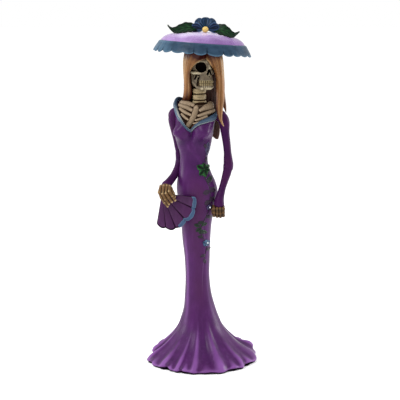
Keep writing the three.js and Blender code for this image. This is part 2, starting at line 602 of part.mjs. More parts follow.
function trimmings(outer) {
  const waist = [[2.5, 227, 150, 9, 3.8], [2.5, 227, 95, 7.5, 3.4], [2.5, 227, 35, 7.2, 3.4],
    [2.5, 227, -20, 6.5, 3.2], [2.5, 227, -75, 8.5, 3.6], [2.5, 227, -125, 8, 3.4]];
  place("waist_leaves", relief(outer, waist.map((l) => leafOutline(...l)), 0.35, 1.9), 0x22391f);
  place("blossom_upper", relief(outer, [blossomOutline(7.9, 184.2, 3)], 1.9, 3.2), 0x8fa4b4);
  place("blossom_lower", relief(outer, [blossomOutline(5, 141.6, 3.8)], 1.9, 3.2), 0x3a6a94);
  const stem = ribbon([[3.5, 216.5], [8.6, 207], [9.6, 196], [8.6, 182], [4, 171], [-1, 160], [1, 149],
    [5, 141], [4.6, 131], [2, 122]], 0.9);
  const leaves = [[8.8, 206, 20, 6, 2.2], [9, 202, 175, 6, 2.2], [9.4, 194, -20, 6, 2],
    [8.8, 190, 200, 6, 2.2], [5, 173, -10, 7, 2.4], [2, 167, 190, 6.5, 2.2],
    [-1, 160, 215, 6, 2.2], [-0.6, 157, -30, 7, 2.2],
    [1, 149, 170, 6, 2], [4.6, 133, 15, 6.5, 2.2], [4, 128, 200, 6, 2.2], [2.4, 123, 290, 6.5, 2]];
  const vine = [stem, ...leaves.map((l) => leafOutline(...l))];
  place("vine", relief(outer, vine, 0.35, 1.5, 2), 0x3a4a40);
}

// ------------------------------------------------------------------ the whole figure
base();
const gownForm = gown();
chestBones();
neck();
skull();
teeth("upper_teeth", 325.1, 328.4, 9, 7.6);
teeth("lower_teeth", 321.4, 324.6, 8, 7.4);
jaw();
hat();
flower();
hatLeaves();
sleeves();
fan();
fanTrim();
fanHand();
freeHand();
hair();
trimmings(gownForm);

const figure = new THREE.Group();
const bounds = new THREE.Box3();
for (const { name, body, colour } of pieces) {
  const geometry = geometryOf(body).toNonIndexed();
  geometry.computeVertexNormals();
  const material = new THREE.MeshStandardMaterial({ color: colour, roughness: 0.6 });
  const mesh = new THREE.Mesh(geometry, material);
  mesh.name = name;
  bounds.expandByObject(mesh);
  figure.add(mesh);
}
// The origin is the middle of the footprint, on the floor.
const middle = bounds.getCenter(V(0, 0, 0));
for (const mesh of figure.children) mesh.geometry.translate(-middle.x, -middle.y, -bounds.min.z);

export default figure;
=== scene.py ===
"""Papier-mache catrina: the looks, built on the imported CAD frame.

Shapes are worked out in millimetres in the figure's own frame (z up, front towards -y, the centre of
the base board at x = y = 0) and placed in metres. The "fan side" is -x and the "free side" is +x.
"""
import math

import bpy
import numpy as np
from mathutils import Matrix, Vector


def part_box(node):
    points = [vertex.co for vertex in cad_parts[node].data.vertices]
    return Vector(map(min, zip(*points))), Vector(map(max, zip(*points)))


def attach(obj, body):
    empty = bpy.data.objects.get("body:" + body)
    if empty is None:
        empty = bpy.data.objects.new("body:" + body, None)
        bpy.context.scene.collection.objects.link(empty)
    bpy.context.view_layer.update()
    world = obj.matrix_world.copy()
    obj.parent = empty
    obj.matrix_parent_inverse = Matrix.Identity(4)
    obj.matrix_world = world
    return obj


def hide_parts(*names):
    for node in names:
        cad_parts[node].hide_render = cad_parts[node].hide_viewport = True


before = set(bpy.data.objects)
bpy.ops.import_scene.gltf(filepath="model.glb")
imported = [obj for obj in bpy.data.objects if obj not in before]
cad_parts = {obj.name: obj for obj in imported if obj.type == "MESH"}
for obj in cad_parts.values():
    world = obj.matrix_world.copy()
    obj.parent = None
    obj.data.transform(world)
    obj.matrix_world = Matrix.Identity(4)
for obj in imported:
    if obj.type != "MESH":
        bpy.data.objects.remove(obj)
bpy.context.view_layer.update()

MM = 0.001
_low, _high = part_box("base_board")
FIGURE = np.array([(_low.x + _high.x) / 2, (_low.y + _high.y) / 2, _low.z])  # metres

# ---------------------------------------------------------------- driving dimensions
GOWN = np.array([  # height, centre x, half width, half depth
    [0.4, 0, 64, 64], [3, 0, 62.4, 62.4], [6.5, 0, 59.4, 59.4], [12, -0.1, 53.4, 53], [18, -0.4, 46.2, 45.4],
    [25, -0.6, 38.8, 38], [32, -0.8, 32.2, 31.8], [40, -1.1, 26.6, 26.2], [50, -1.7, 22.5, 22],
    [62, -2.5, 18.9, 18.6], [78, -3.9, 15.8, 15.9], [100, -4.6, 13.8, 14.4], [122, -4.9, 14.4, 14.8],
    [145, -5.8, 16, 16], [165, -5.7, 17.5, 17], [186, -4.7, 21, 18.6], [202, -4.9, 23.2, 19.4],
    [212, -6.1, 21.8, 18.4], [223, -7.9, 18.6, 15.6], [234, -8.9, 16.1, 13.2], [244, -8.9, 16.2, 13],
    [254, -8.8, 19.6, 14.2], [262, -9.2, 21.6, 15], [268, -8.8, 22.3, 15.3], [275, -8.2, 22.6, 15.6],
    [285, -7.5, 23.8, 15.4], [294, -7.4, 24.8, 14.6], [300, -7.6, 23.6, 13.8], [305, -7, 19.5, 12.6],
    [309, -5, 12, 10],
])
CHEST_TURN = -18
BUST = [(-55, 10.2), (27, 9.6)]
NECKLINE = np.array([
    [-16.2, -20, 277.4], [-23.4, -14, 285.4], [-27.2, -6, 293], [-26.6, 3, 301], [-21.5, 13.5, 307],
    [-5, 19, 308], [12, 14, 304], [20, 0, 299.6], [15.4, -11.6, 292.4], [0, -19.2, 285],
])
BUST_Z = 269.5
WALL, HEM_WALL = 1.5, 2.6  # thickness of the paper
HEM_FOLDS = 14
HEM_SPREAD = [(3.4, -1.17, 0.2), (-5, -1.76, 0.24), (2.6, 1.6, 0.35)]  # out by, angle, width in radians
HEM_LIFTS = [(7, 122, 0.2), (9, 150, 0.16), (6, -120, 0.25), (4, 180, 0.3)]  # up by, degrees, width
PANEL_EDGE = np.array([[60, 14], [100, 22], [122, 28], [141, 42], [160, 24], [182, 40], [200, 42],
                       [216, 40], [228, 44]])  # height, degrees round from the front
HEAD = dict(x=-0.5, y=-1.0, turn=38)
HAT = dict(x=1.0, z=369.4, tilt=4, rim=48, dome=13.8, crimps=24)
FAN = dict(x=-45.3, y=-15.6, z=200)
NECK = dict(x=-2.6, foot=299.2, pitch=6.9, height=5.9)
CRANIUM = (13.6, 15.4, 14.6)  # half axes
FLOWER = (4, -15, 385.6)  # middle of the yellow bead


# ---------------------------------------------------------------- number helpers
def smooth(low, high, x):
    """0 at low, 1 at high and an S between them."""
    t = np.clip((x - low) / (high - low), 0, 1)
    return t * t * (3 - 2 * t)


def bell(x, width):
    """A bump of height 1 at x = 0."""
    return np.exp(-0.5 * (x / width) ** 2)


def lerp(a, b, t):
    return a + (b - a) * t


def spline(points, count, closed=False):
    """A number of points along a smooth curve through the given points."""
    p = np.asarray(points, float)
    n = len(p)
    s = np.linspace(0, 1, count, endpoint=not closed) * (n if closed else n - 1)
    i = np.floor(s).astype(int)
    if not closed:
        i = np.clip(i, 0, n - 2)
    u = (s - i)[:, None]
    at = (lambda k: p[k % n]) if closed else (lambda k: p[np.clip(k, 0, n - 1)])
    a, b, c, d = at(i - 1), at(i), at(i + 1), at(i + 2)
    bend, twist = 2 * a - 5 * b + 4 * c - d, 3 * b - a - 3 * c + d
    return 0.5 * (2 * b + (c - a) * u + bend * u**2 + twist * u**3)


def rotate(p, axis, degrees):
    """Points turned about a main axis, 0 for x, 1 for y and 2 for z."""
    a = math.radians(degrees)
    c, s = math.cos(a), math.sin(a)
    i, j = (axis + 1) % 3, (axis + 2) % 3
    out = np.array(p, float)
    out[..., i] = c * p[..., i] - s * p[..., j]
    out[..., j] = s * p[..., i] + c * p[..., j]
    return out


def ripple(x, y, z, scale):
    """A smooth, repeatable unevenness between about -1 and 1."""
    x, y, z = x / scale, y / scale, z / scale
    return (np.sin(1.7 * x + 2.1 * y + 0.3) * np.sin(1.3 * z - 1.1 * x + 1.7)
            + 0.6 * np.sin(3.1 * y - 2.3 * z + 4.1) * np.sin(2.9 * x + 1.9 * z + 0.7)) / 1.4


# ---------------------------------------------------------------- mesh helpers
# A shape is (vertices in millimetres, faces).
def grid_faces(rows, cols, wrap_rows=False, wrap_cols=False):
    r = np.arange(rows if wrap_rows else rows - 1)
    c = np.arange(cols if wrap_cols else cols - 1)
    i, j = np.meshgrid(r, c, indexing="ij")
    i2, j2 = (i + 1) % rows, (j + 1) % cols
    return np.stack([i * cols + j, i * cols + j2, i2 * cols + j2, i2 * cols + j], -1).reshape(-1, 4)


def fan_cap(ring, centre, flip):
    nxt = np.roll(ring, -1)
    pair = (nxt, ring) if flip else (ring, nxt)
    return np.stack([np.full(len(ring), centre), *pair], -1)


def lofted(rings):
    """A closed skin through rings (rows, points, 3), capped at both ends: (vertices, faces)."""
    rows, cols = rings.shape[:2]
    v = np.vstack([rings.reshape(-1, 3), rings[0].mean(0), rings[-1].mean(0)])
    n = rows * cols
    quads = grid_faces(rows, cols, wrap_cols=True)
    low = fan_cap(np.arange(cols), n, True)
    top = fan_cap(np.arange(n - cols, n), n + 1, False)
    return v, [*quads.tolist(), *low.tolist(), *top.tolist()]


def looped(rings):
    """A closed skin through rings that come back to the first."""
    rows, cols = rings.shape[:2]
    return rings.reshape(-1, 3), grid_faces(rows, cols, True, True).tolist()


def polar(r, angle, z):
    """Points at a radius and angle round the z axis."""
    return np.stack(np.broadcast_arrays(r * np.cos(angle), r * np.sin(angle), z), -1)


def turned(profile, sides):
    """Rings of a turned shape, from a profile of [radius, height]."""
    angle = np.linspace(0, 2 * np.pi, sides, endpoint=False)
    return polar(profile[:, :1], angle, profile[:, 1:])


def slab(grid, thickness):
    """An open sheet of points (rows, columns, 3) made solid: thickness is a number or one per point."""
    n = np.cross(np.gradient(grid, axis=1), np.gradient(grid, axis=0))
    n = n / np.maximum(np.linalg.norm(n, axis=-1, keepdims=True), 1e-9)
    half = np.broadcast_to(np.asarray(thickness, float), grid.shape[:2])[..., None] / 2
    front, back = grid + n * half, grid - n * half
    rings = np.concatenate([front, back[:, ::-1]], axis=1)
    return lofted(rings)


def swept(path, radii, sides, shape=None):
    """Round rings along a path, with shape(angle, t) scaling the radius."""
    path = np.asarray(path, float)
    tangent = np.gradient(path, axis=0)
    tangent /= np.linalg.norm(tangent, axis=1, keepdims=True)
    side, rings = np.array([1.0, 0, 0]), []
    angle = np.linspace(0, 2 * np.pi, sides, endpoint=False)
    for k, (p, t) in enumerate(zip(path, tangent)):
        side = side - t * side.dot(t)
        side /= np.linalg.norm(side)
        up = np.cross(t, side)
        r = radii[k] * (shape(angle, k / (len(path) - 1)) if shape else 1)
        rings.append(p + np.outer(r * np.cos(angle), side) + np.outer(r * np.sin(angle), up))
    return np.array(rings)


CAP_ANGLES = np.radians([20, 45, 70])  # rings of a rounded end


def limb(stations, sides, steps, shape=None):
    """A round limb through stations [x, y, z, radius] with rounded ends."""
    s = spline(stations, steps)
    path, r = s[:, :3], s[:, 3].copy()
    first, last = path[0] - path[1], path[-1] - path[-2]
    caps, rise = np.sin(CAP_ANGLES), np.cos(CAP_ANGLES)
    head = [path[0] + first / np.linalg.norm(first) * r[0] * k for k in rise]
    tail = [path[-1] + last / np.linalg.norm(last) * r[-1] * k for k in rise]
    path = np.vstack([head, path, tail[::-1]])
    r = np.concatenate([r[0] * caps, r, (r[-1] * caps)[::-1]])
    return lofted(swept(path, r, sides, shape))


def joined(parts):
    """Several shapes as one."""
    verts, faces, n = [], [], 0
    for v, f in parts:
        verts.append(v)
        faces += [[i + n for i in face] for face in f]
        n += len(v)
    return np.vstack(verts), faces


# ---------------------------------------------------------------- solids from distance fields
# Each takes points p = (x, y, z) and gives the distance to its surface, negative inside.
def ball(p, centre, radii):
    """An ellipsoid."""
    q = [(a - c) / r for a, c, r in zip(p, centre, radii)]
    k0 = np.sqrt(q[0] ** 2 + q[1] ** 2 + q[2] ** 2)
    k1 = np.sqrt(sum((a / r) ** 2 for a, r in zip(q, radii)))
    return k0 * (k0 - 1) / np.maximum(k1, 1e-6)


def rod(p, a, b, ra, rb):
    """A round bar from a to b, with a radius at each end."""
    ab = np.subtract(b, a)
    d = [p[i] - a[i] for i in range(3)]
    t = np.clip(sum(d[i] * ab[i] for i in range(3)) / ab.dot(ab), 0, 1)
    return np.sqrt(sum((d[i] - t * ab[i]) ** 2 for i in range(3))) - (ra + (rb - ra) * t)


def chain(p, stations):
    """Rods joined end to end through stations [x, y, z, radius]."""
    f = None
    for a, b in zip(stations, stations[1:]):
        part = rod(p, a[:3], b[:3], a[3], b[3])
        f = part if f is None else blend(f, part, 0.02)
    return f


def blend(a, b, k):
    """Two solids run together, with a fillet of about k."""
    h = np.clip(0.5 + 0.5 * (b - a) / k, 0, 1)
    return b + (a - b) * h - k * h * (1 - h)


def carve(a, b, k):
    """Solid a with solid b cut out of it."""
    return -blend(-a, b, k)


def skin_of(field, low, high, step):
    """The surface where field(points) is zero, as quads (naive surface nets)."""
    axes = [np.arange(a, b + step, step, dtype=np.float32) for a, b in zip(low, high)]
    f = field(np.meshgrid(*axes, indexing="ij", sparse=True)).astype(np.float32)
    cells = np.array(f.shape) - 1
    total = np.zeros((*cells, 3), np.float32)
    count = np.zeros(cells, np.float32)
    corner = lambda o: f[tuple(slice(o[i], o[i] + cells[i]) for i in range(3))]
    for axis in range(3):
        i, j = (axis + 1) % 3, (axis + 2) % 3
        for di in (0, 1):
            for dj in (0, 1):
                a = np.zeros(3, int)
                a[i], a[j] = di, dj
                b = a.copy()
                b[axis] = 1
                fa, fb = corner(a), corner(b)
                cross = (fa < 0) != (fb < 0)
                t = np.where(cross, fa / np.where(cross, fa - fb, 1), 0)
                for k in range(3):
                    total[..., k] += np.where(cross, t if k == axis else a[k], 0)
                count += cross
    used = count > 0
    index = np.full(cells, -1)
    index[used] = np.arange(used.sum())
    where = np.argwhere(used)
    verts = (where + total[used] / count[used][:, None]) * step + [ax[0] for ax in axes]
    faces = []
    for axis in range(3):
        i, j = (axis + 1) % 3, (axis + 2) % 3
        a = [slice(1, -1)] * 3
        a[axis] = slice(0, -1)
        b = list(a)
        b[axis] = slice(1, None)
        fa, fb = f[tuple(a)] < 0, f[tuple(b)] < 0
        for out, mask in ((True, fa & ~fb), (False, ~fa & fb)):
            base = np.argwhere(mask)
            base[:, i] += 1
            base[:, j] += 1
            quad = []
            for di, dj in ((1, 1), (0, 1), (0, 0), (1, 0)):
                c = base.copy()
                c[:, i] -= di
                c[:, j] -= dj
                quad.append(index[tuple(c.T)])
            quad = np.stack(quad if out else quad[::-1], -1)
            faces.append(quad)
    return verts, np.vstack(faces).tolist()


# ---------------------------------------------------------------- pieces
def gathered(index, values, count):
    """The sum of the rows of values that share an index."""
    return np.stack([np.bincount(index, values[:, c], count) for c in range(3)], -1)


def cavity(v, faces, passes, reach):
    """0.5 on flat places, above it in creases and below it on ridges."""
    corners = np.array([f[:3] for f in faces], int)
    flat = np.cross(v[corners[:, 1]] - v[corners[:, 0]], v[corners[:, 2]] - v[corners[:, 0]])
    normal = sum(gathered(corners[:, k], flat, len(v)) for k in range(3))
    normal /= np.maximum(np.linalg.norm(normal, axis=1, keepdims=True), 1e-12)
    edges = []
    for sides in (4, 3):
        loops = np.array([f for f in faces if len(f) == sides], int).reshape(-1, sides)
        edges += [np.stack([loops[:, k], loops[:, (k + 1) % sides]], -1) for k in range(sides)]
    edges = np.vstack(edges)
    here, there = np.vstack([edges, edges[:, ::-1]]).T
    degree = np.maximum(np.bincount(here, minlength=len(v)), 1)[:, None]
    soft = v.copy()
    for _ in range(passes):
        soft = gathered(here, soft[there], len(v)) / degree
    depth = ((soft - v) * normal).sum(1)
    depth -= np.median(depth)
    return np.clip(0.5 + 0.5 * depth / reach, 0, 1)


def placed(name, data):
    """A new object in the scene."""
    obj = bpy.data.objects.new(name, data)
    bpy.context.scene.collection.objects.link(obj)
    return obj


def piece(name, shape, material, slot, nodes, passes, reach, tone=None, shade=0, least=0):
    """One object of the figure: vertices in millimetres, riding on the body in place of CAD nodes.

    passes and reach set how wide and how deep a crease takes the painted shade. tone brings in the
    material's second colour, shade darkens the paint as painted shade (below zero it lightens it as a
    painted highlight), and least is its floor.
    """
    v, faces = shape
    mesh = bpy.data.meshes.new(name)
    mesh.from_pydata((v * MM + FIGURE).tolist(), [], faces)
    mesh.validate()
    mesh.polygons.foreach_set("use_smooth", [True] * len(mesh.polygons))
    crease = np.maximum(cavity(v, faces, passes, reach), least) + shade
    mesh.attributes.new("cavity", "FLOAT", "POINT").data.foreach_set("value", crease)
    values = np.zeros(len(v)) if tone is None else np.asarray(tone, float)
    mesh.attributes.new("tone", "FLOAT", "POINT").data.foreach_set("value", values)
    obj = placed(name, mesh)
    mesh.materials.append(material)
    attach(obj, "root")
    if nodes:
        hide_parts(*nodes)


# ---------------------------------------------------------------- materials
def linear(rgb):
    c = np.array(rgb) / 255
    return (*np.where(c <= 0.04045, c / 12.92, ((c + 0.055) / 1.055) ** 2.4), 1)


def painted(name, base, crease_shade, light, second=None, rough=0.45, stretch=(1, 1, 1), ior=1.27, grain=0.1,
            wear_and_highlight=0.7, matte_shade=False):
    """Hand-painted paper: mottled brush colour, painted shade in creases, ridges lightened as part wear
    and part painted highlight, and fine fibre.

    The gloss can be taken off where the second colour lies, so that painted shade in gaps and holes
    reads black.
    """
    m = bpy.data.materials.new(name)
    m.use_nodes = True
    tree = m.node_tree
    new, link = tree.nodes.new, tree.links.new
    shader = tree.nodes["Principled BSDF"]
    shader.inputs["IOR"].default_value = ior
    where = new("ShaderNodeTexCoord").outputs["Object"]

    def noise(scale, detail, squash=(1, 1, 1)):
        mapping, n = new("ShaderNodeMapping"), new("ShaderNodeTexNoise")
        mapping.inputs["Scale"].default_value = squash
        n.inputs["Scale"].default_value = scale
        n.inputs["Detail"].default_value = detail
        link(where, mapping.inputs["Vector"])
        link(mapping.outputs["Vector"], n.inputs["Vector"])
        return n.outputs["Fac"]

    def ramp(value, low, high, top=1.0, bottom=0.0):
        r = new("ShaderNodeMapRange")
        r.inputs["From Min"].default_value, r.inputs["From Max"].default_value = low, high
        r.inputs["To Min"].default_value, r.inputs["To Max"].default_value = bottom, top
        link(value, r.inputs["Value"])
        return r.outputs["Result"]

    def mix(factor, a, b):
        x = new("ShaderNodeMix")
        x.data_type = "RGBA"
        link(factor, x.inputs["Factor"])
        for value, socket in ((a, x.inputs["A"]), (b, x.inputs["B"])):
            if isinstance(value, tuple):
                socket.default_value = value
            else:
                link(value, socket)
        return x.outputs["Result"]

    def attribute(label):
        a = new("ShaderNodeAttribute")
        a.attribute_name = label
        return a.outputs["Fac"]

    dark = tuple(0.62 * c for c in linear(base)[:3]) + (1,)
    bright = tuple(min(1.3 * c + 0.01, 1) for c in linear(base)[:3]) + (1,)
    colour = mix(ramp(noise(70, 5), 0.35, 0.7, 0.7), linear(base), dark)
    colour = mix(ramp(noise(260, 6, stretch), 0.5, 0.78, 0.5), colour, bright)
    crease = attribute("cavity")
    # Painted shade: creases darken towards the dark crease colour.
    colour = mix(ramp(crease, 0.54, 0.85, 0.92), colour, linear(crease_shade))
    # Ridges lighten towards the light colour, part wear and part painted highlight.
    colour = mix(ramp(crease, 0.45, 0.1, wear_and_highlight), colour, linear(light))
    if second:
        colour = mix(attribute("tone"), colour, linear(second))
    link(colour, shader.inputs["Base Color"])
    # Where the second colour is painted shade in gaps and holes, the gloss can be taken off.
    if matte_shade:
        link(ramp(attribute("tone"), 0, 1, 0.0, 0.5), shader.inputs["Specular IOR Level"])
    link(ramp(noise(400, 4, stretch), 0, 1, rough + 0.14, rough - 0.08), shader.inputs["Roughness"])
    bump = new("ShaderNodeBump")
    bump.inputs["Strength"].default_value = grain
    bump.inputs["Distance"].default_value = 0.0006
    link(noise(900, 6, stretch), bump.inputs["Height"])
    link(bump.outputs["Normal"], shader.inputs["Normal"])
    return m


DOWN = (1, 1, 0.22)  # brush strokes run down the figure
BLACK = (10, 6, 6)
PALE = (222, 228, 232)
PURPLE = painted("gown_paint", (68, 24, 80), (44, 10, 58), (130, 80, 150), (66, 26, 68), 0.33, DOWN, 1.23)
# A darker, less glossy copy of the gown paint for the sleeves: painted shade.
SHADED_PURPLE = painted("sleeve_shaded_paint", (58, 18, 68), (40, 9, 52), (104, 66, 118), (62, 22, 58), 0.36, DOWN, 1.16)
# Near-black paint for the ring under the hem: part dark underside, part painted shadow.
SHADOW = painted("hem_shadow_paint", (14, 8, 16), (4, 2, 5), (24, 14, 28), BLACK, 0.8, ior=1.05)
COLLAR = painted("collar_paint", (52, 70, 90), (14, 18, 28), (100, 122, 140), (150, 156, 150), 0.36)
FANNED = painted("fan_paint", (60, 22, 64), (12, 4, 16), (92, 48, 94), (5, 2, 7), 0.36, (1, 1, 0.4),
                 matte_shade=True)
FANBLUE = painted("fan_trim_paint", (50, 72, 100), (10, 14, 30), (92, 120, 148), rough=0.36, wear_and_highlight=0.35)
BONE = painted("bone_paint", (107, 94, 76), (18, 12, 8), (204, 192, 160), BLACK, 0.4, matte_shade=True)
TOOTH = painted("tooth_paint", (144, 127, 92), (30, 18, 10), (210, 198, 160), BLACK, 0.4, matte_shade=True)
HAND = painted("hand_paint", (100, 72, 42), (5, 3, 2), (224, 196, 144), BLACK, 0.38, wear_and_highlight=1.0, matte_shade=True)
CHEST = painted("chest_paint", (146, 126, 102), (34, 20, 12), (214, 190, 162), (34, 21, 14), 0.42, matte_shade=True)
NECKBONE = painted("neck_paint", (150, 132, 100), (24, 15, 9), (190, 174, 138), BLACK, 0.42)
HAIR = painted("hair_paint", (134, 90, 50), (56, 24, 12), (176, 146, 102), (56, 16, 10), 0.36, DOWN,
               wear_and_highlight=0.75)
# A much darker copy of the hair paint: painted shade on the hair behind the head (also used for the hidden
# core).
SHADED_HAIR = painted("back_hair_shaded_paint", (48, 22, 14), (12, 6, 5), (86, 50, 30), rough=0.42, stretch=DOWN)
LILAC = painted("hat_paint", (170, 140, 194), (72, 42, 94), (222, 210, 238), (100, 60, 124), 0.24, ior=1.38,
                grain=0.04, wear_and_highlight=1.0)
LINING = painted("lining_paint", (38, 28, 46), (18, 14, 24), (60, 50, 70), rough=0.6)
RUFFLE = painted("ruffle_paint", (38, 60, 80), (10, 20, 30), (78, 108, 130), (8, 14, 22), 0.36, ior=1.2,
                 wear_and_highlight=0.55, matte_shade=True)
PETAL = painted("petal_paint", (36, 54, 88), (4, 7, 14), (78, 104, 138), (12, 42, 62), 0.32, ior=1.2)
BEAD = painted("bead_paint", (224, 192, 112), (110, 72, 28), (240, 224, 176), rough=0.3)
LEAF = painted("leaf_paint", (10, 44, 20), (3, 8, 6), (44, 96, 46), (4, 12, 9), 0.34, ior=1.2)
VINE = painted("vine_paint", (18, 44, 24), (12, 12, 14), (36, 66, 44), (50, 30, 54), 0.4, wear_and_highlight=0.4)
FADED = painted("muted_leaf_paint", (58, 50, 84), (26, 20, 44), (84, 80, 116), PALE, 0.38, wear_and_highlight=0.4)
BLOSSOM = painted("blossom_paint", (38, 62, 92), (12, 14, 34), (80, 110, 138), PALE, 0.34)
# Dark wood: darkened so the board reads as painted shadow where it shows under the lifted hem.
WOOD = painted("board_wood", (58, 40, 30), (24, 16, 12), (84, 62, 46), rough=0.7, stretch=(1, 14, 1))


# ---------------------------------------------------------------- gown surface
def hermite_table(stations, heights):
    z = stations[:, 0]
    slope = np.gradient(stations[:, 1:], z, axis=0)
    i = np.clip(np.searchsorted(z, heights) - 1, 0, len(z) - 2)
    h = (z[i + 1] - z[i])[:, None]
    t = np.clip((heights - z[i])[:, None] / h, 0, 1)
    a, b = stations[i, 1:], stations[i + 1, 1:]
    return ((2 * t**3 - 3 * t**2 + 1) * a + (t**3 - 2 * t**2 + t) * h * slope[i]
            + (3 * t**2 - 2 * t**3) * b + (t**3 - t**2) * h * slope[i + 1])


FINE_Z = np.linspace(0.4, 309, 1400)
FINE = hermite_table(GOWN, FINE_Z)


def station(z):
    """Centre x, half width and half depth of the gown at height z."""
    return [np.interp(z, FINE_Z, FINE[:, k]) for k in range(3)]


def hem_flutes(z, angle):
    """Soft ridges round the flared hem, uneven in place, height and strength, over a rolled, frilled edge."""
    turned = angle + 0.12 * np.sin(2 * angle + 1) + 0.06 * np.sin(5 * angle + 2)
    wave = np.cos(HEM_FOLDS * turned)
    ridge = 2 * ((1 + wave) / 2) ** 2 - 0.8
    strength = 1 + 0.45 * np.sin(3 * angle + 0.6) + 0.3 * np.sin(7 * angle)
    reach = 56 + 18 * np.sin(4 * angle + 1.1)
    t = np.clip(z / reach, 0, 1)
    rise = (1 - t) ** 1.65 * (0.3 + 0.7 * smooth(1, 12, z))
    low = 1 - smooth(0, 12, z)
    frill = 1.3 * np.cos(HEM_FOLDS * turned + 2.2) + 0.6 * np.cos(2 * HEM_FOLDS * turned + 0.5)
    sides = 1 + 0.9 * (bell(angle + 1.2, 0.4) + bell(angle - 1.5, 0.45)) * (1 - smooth(4, 26, z))
    spread = sum(out * bell(angle - at, width) for out, at, width in HEM_SPREAD)
    spread = (spread + 3.4 * bell(angle, 0.55)) * (1 - smooth(2, 24, z))
    return 3.2 * sides * strength * rise * (ridge - 0.3) + 0.8 * sides * frill * low + spread


def drapery(z, angle):
    """The wrapped panel, and soft creases that run from the waist knot to the bust and round the hip."""
    edge = np.radians(np.interp(z, *PANEL_EDGE.T))
    here = smooth(60, 110, z) * (1 - smooth(204, 231, z))
    d = 0.8 * here * (1 - smooth(-0.04, 0.05, angle - edge))
    knot = 0.66
    for lean, wide in ((1.35, 0.13), (0.85, 0.11), (0.4, 0.09)):
        line = knot - lean * smooth(228, 264, z)
        d = d + 0.3 * bell(angle - line, wide) * smooth(226, 242, z) * (1 - smooth(252, 266, z))
    for start in (-0.5, 0.05):
        line = start + (knot - start) * smooth(180, 226, z)
        d = d + 0.2 * bell(angle - line, 0.13) * smooth(176, 204, z) * (1 - smooth(212, 228, z))
    return d


def gown_radius(z, angle):
    """Radius of the gown at an angle from the front: the turned torso, the bust, the hem and the folds."""
    _, wide, deep = station(z)
    local = angle - math.radians(CHEST_TURN) * smooth(232, 262, z)
    r = 1 / np.hypot(np.sin(local) / wide, np.cos(local) / deep)
    for at, out in BUST:
        rise = np.where(z > BUST_Z, bell(z - BUST_Z, 7.2), bell(z - BUST_Z, 5.4))
        r = r + out * bell(angle - math.radians(at), math.radians(17)) * rise
    dip = 3.6 * bell(angle + math.radians(14), math.radians(9)) * bell(z - 267, 6.5)
    tuck = 1.6 * (1 - smooth(0.6, 2.4, z))
    return r - dip - tuck + hem_flutes(z, angle) + drapery(z, angle)


def hem_lift(angle):
    """How far the edge of the hem rises off the floor: small waves, and larger lifts round the back."""
    def turn(degrees):
        return np.angle(np.exp(1j * (angle - math.radians(degrees))))

    level = (1 - 0.7 * bell(turn(5), 0.5)) * (1 - 0.8 * bell(turn(-67), 0.25))
    waves = 1 + (1.3 - 1.3 * np.cos(HEM_FOLDS * angle + 0.9)) * level
    return sum(up * bell(turn(at), width) for up, at, width in HEM_LIFTS) + waves


def gown_point(z, angle, out=0.0):
    """The point of the gown at a height and an angle from the front, moved out of it."""
    z, angle = np.broadcast_arrays(np.asarray(z, float), np.asarray(angle, float))
    r = gown_radius(z, angle) + out
    lift = hem_lift(angle) * (1 - smooth(0, 22, z))
    return np.stack([station(z)[0] + r * np.sin(angle), -r * np.cos(angle), z + lift], -1)


def on_front(x, z, out):
    """The point of the front of the gown at x and z, lifted off it."""
    x, z = np.broadcast_arrays(np.asarray(x, float), np.asarray(z, float))
    low, high = np.full(x.shape, -1.5), np.full(x.shape, 1.5)
    for _ in range(26):
        mid = (low + high) / 2
        left = gown_point(z, mid)[..., 0] < x
        low, high = np.where(left, mid, low), np.where(left, high, mid)
    p = gown_point(z, low)
    return p + gown_normal(p) * np.asarray(out)[..., None]


def outside(p):
    """How far points stand outside the gown."""
    x = p[..., 0] - station(p[..., 2])[0]
    return np.hypot(x, p[..., 1]) - gown_radius(p[..., 2], np.arctan2(x, -p[..., 1]))


def gown_normal(p, d=0.8):
    g = np.stack([outside(p + d * e) - outside(p - d * e) for e in np.eye(3)], -1)
    return g / np.linalg.norm(g, axis=-1, keepdims=True)


INSIDE = np.array([-6, 3, 262.0])  # a point in the chest that sees the whole neckline


def neck_rays(margin, count):
    """Rays from inside the chest through the neckline, moved out from its middle by a margin."""
    axis = np.array([-5, 0, 294]) - INSIDE
    axis = axis / np.linalg.norm(axis)
    ring = spline(NECKLINE, count, closed=True)
    side = ring - INSIDE
    side = side - (side @ axis)[:, None] * axis
    side /= np.linalg.norm(side, axis=1, keepdims=True)
    return ring + side * np.asarray(margin).reshape(-1, 1) - INSIDE


def gown_hit(rays):
    """Where the rays leave the gown."""
    low, high = np.full(len(rays), 0.2), np.full(len(rays), 1.7)
    for _ in range(26):
        mid = (low + high) / 2
        p = INSIDE + rays * mid[:, None]
        inside = (outside(p) < 0) & (p[:, 2] < 308)
        low, high = np.where(inside, mid, low), np.where(inside, high, mid)
    return INSIDE + rays * low[:, None]


# ---------------------------------------------------------------- gown, sleeves, collar
def gown_top(angles):
    """The height of the neckline at each angle."""
    edge = gown_hit(neck_rays(0.8, 240))
    turn = np.arctan2(edge[:, 0] - station(edge[:, 2])[0], -edge[:, 1])
    order = np.argsort(turn)
    t, z = turn[order], edge[order, 2]
    return np.interp(angles, np.r_[t - 2 * np.pi, t, t + 2 * np.pi], np.r_[z, z, z])


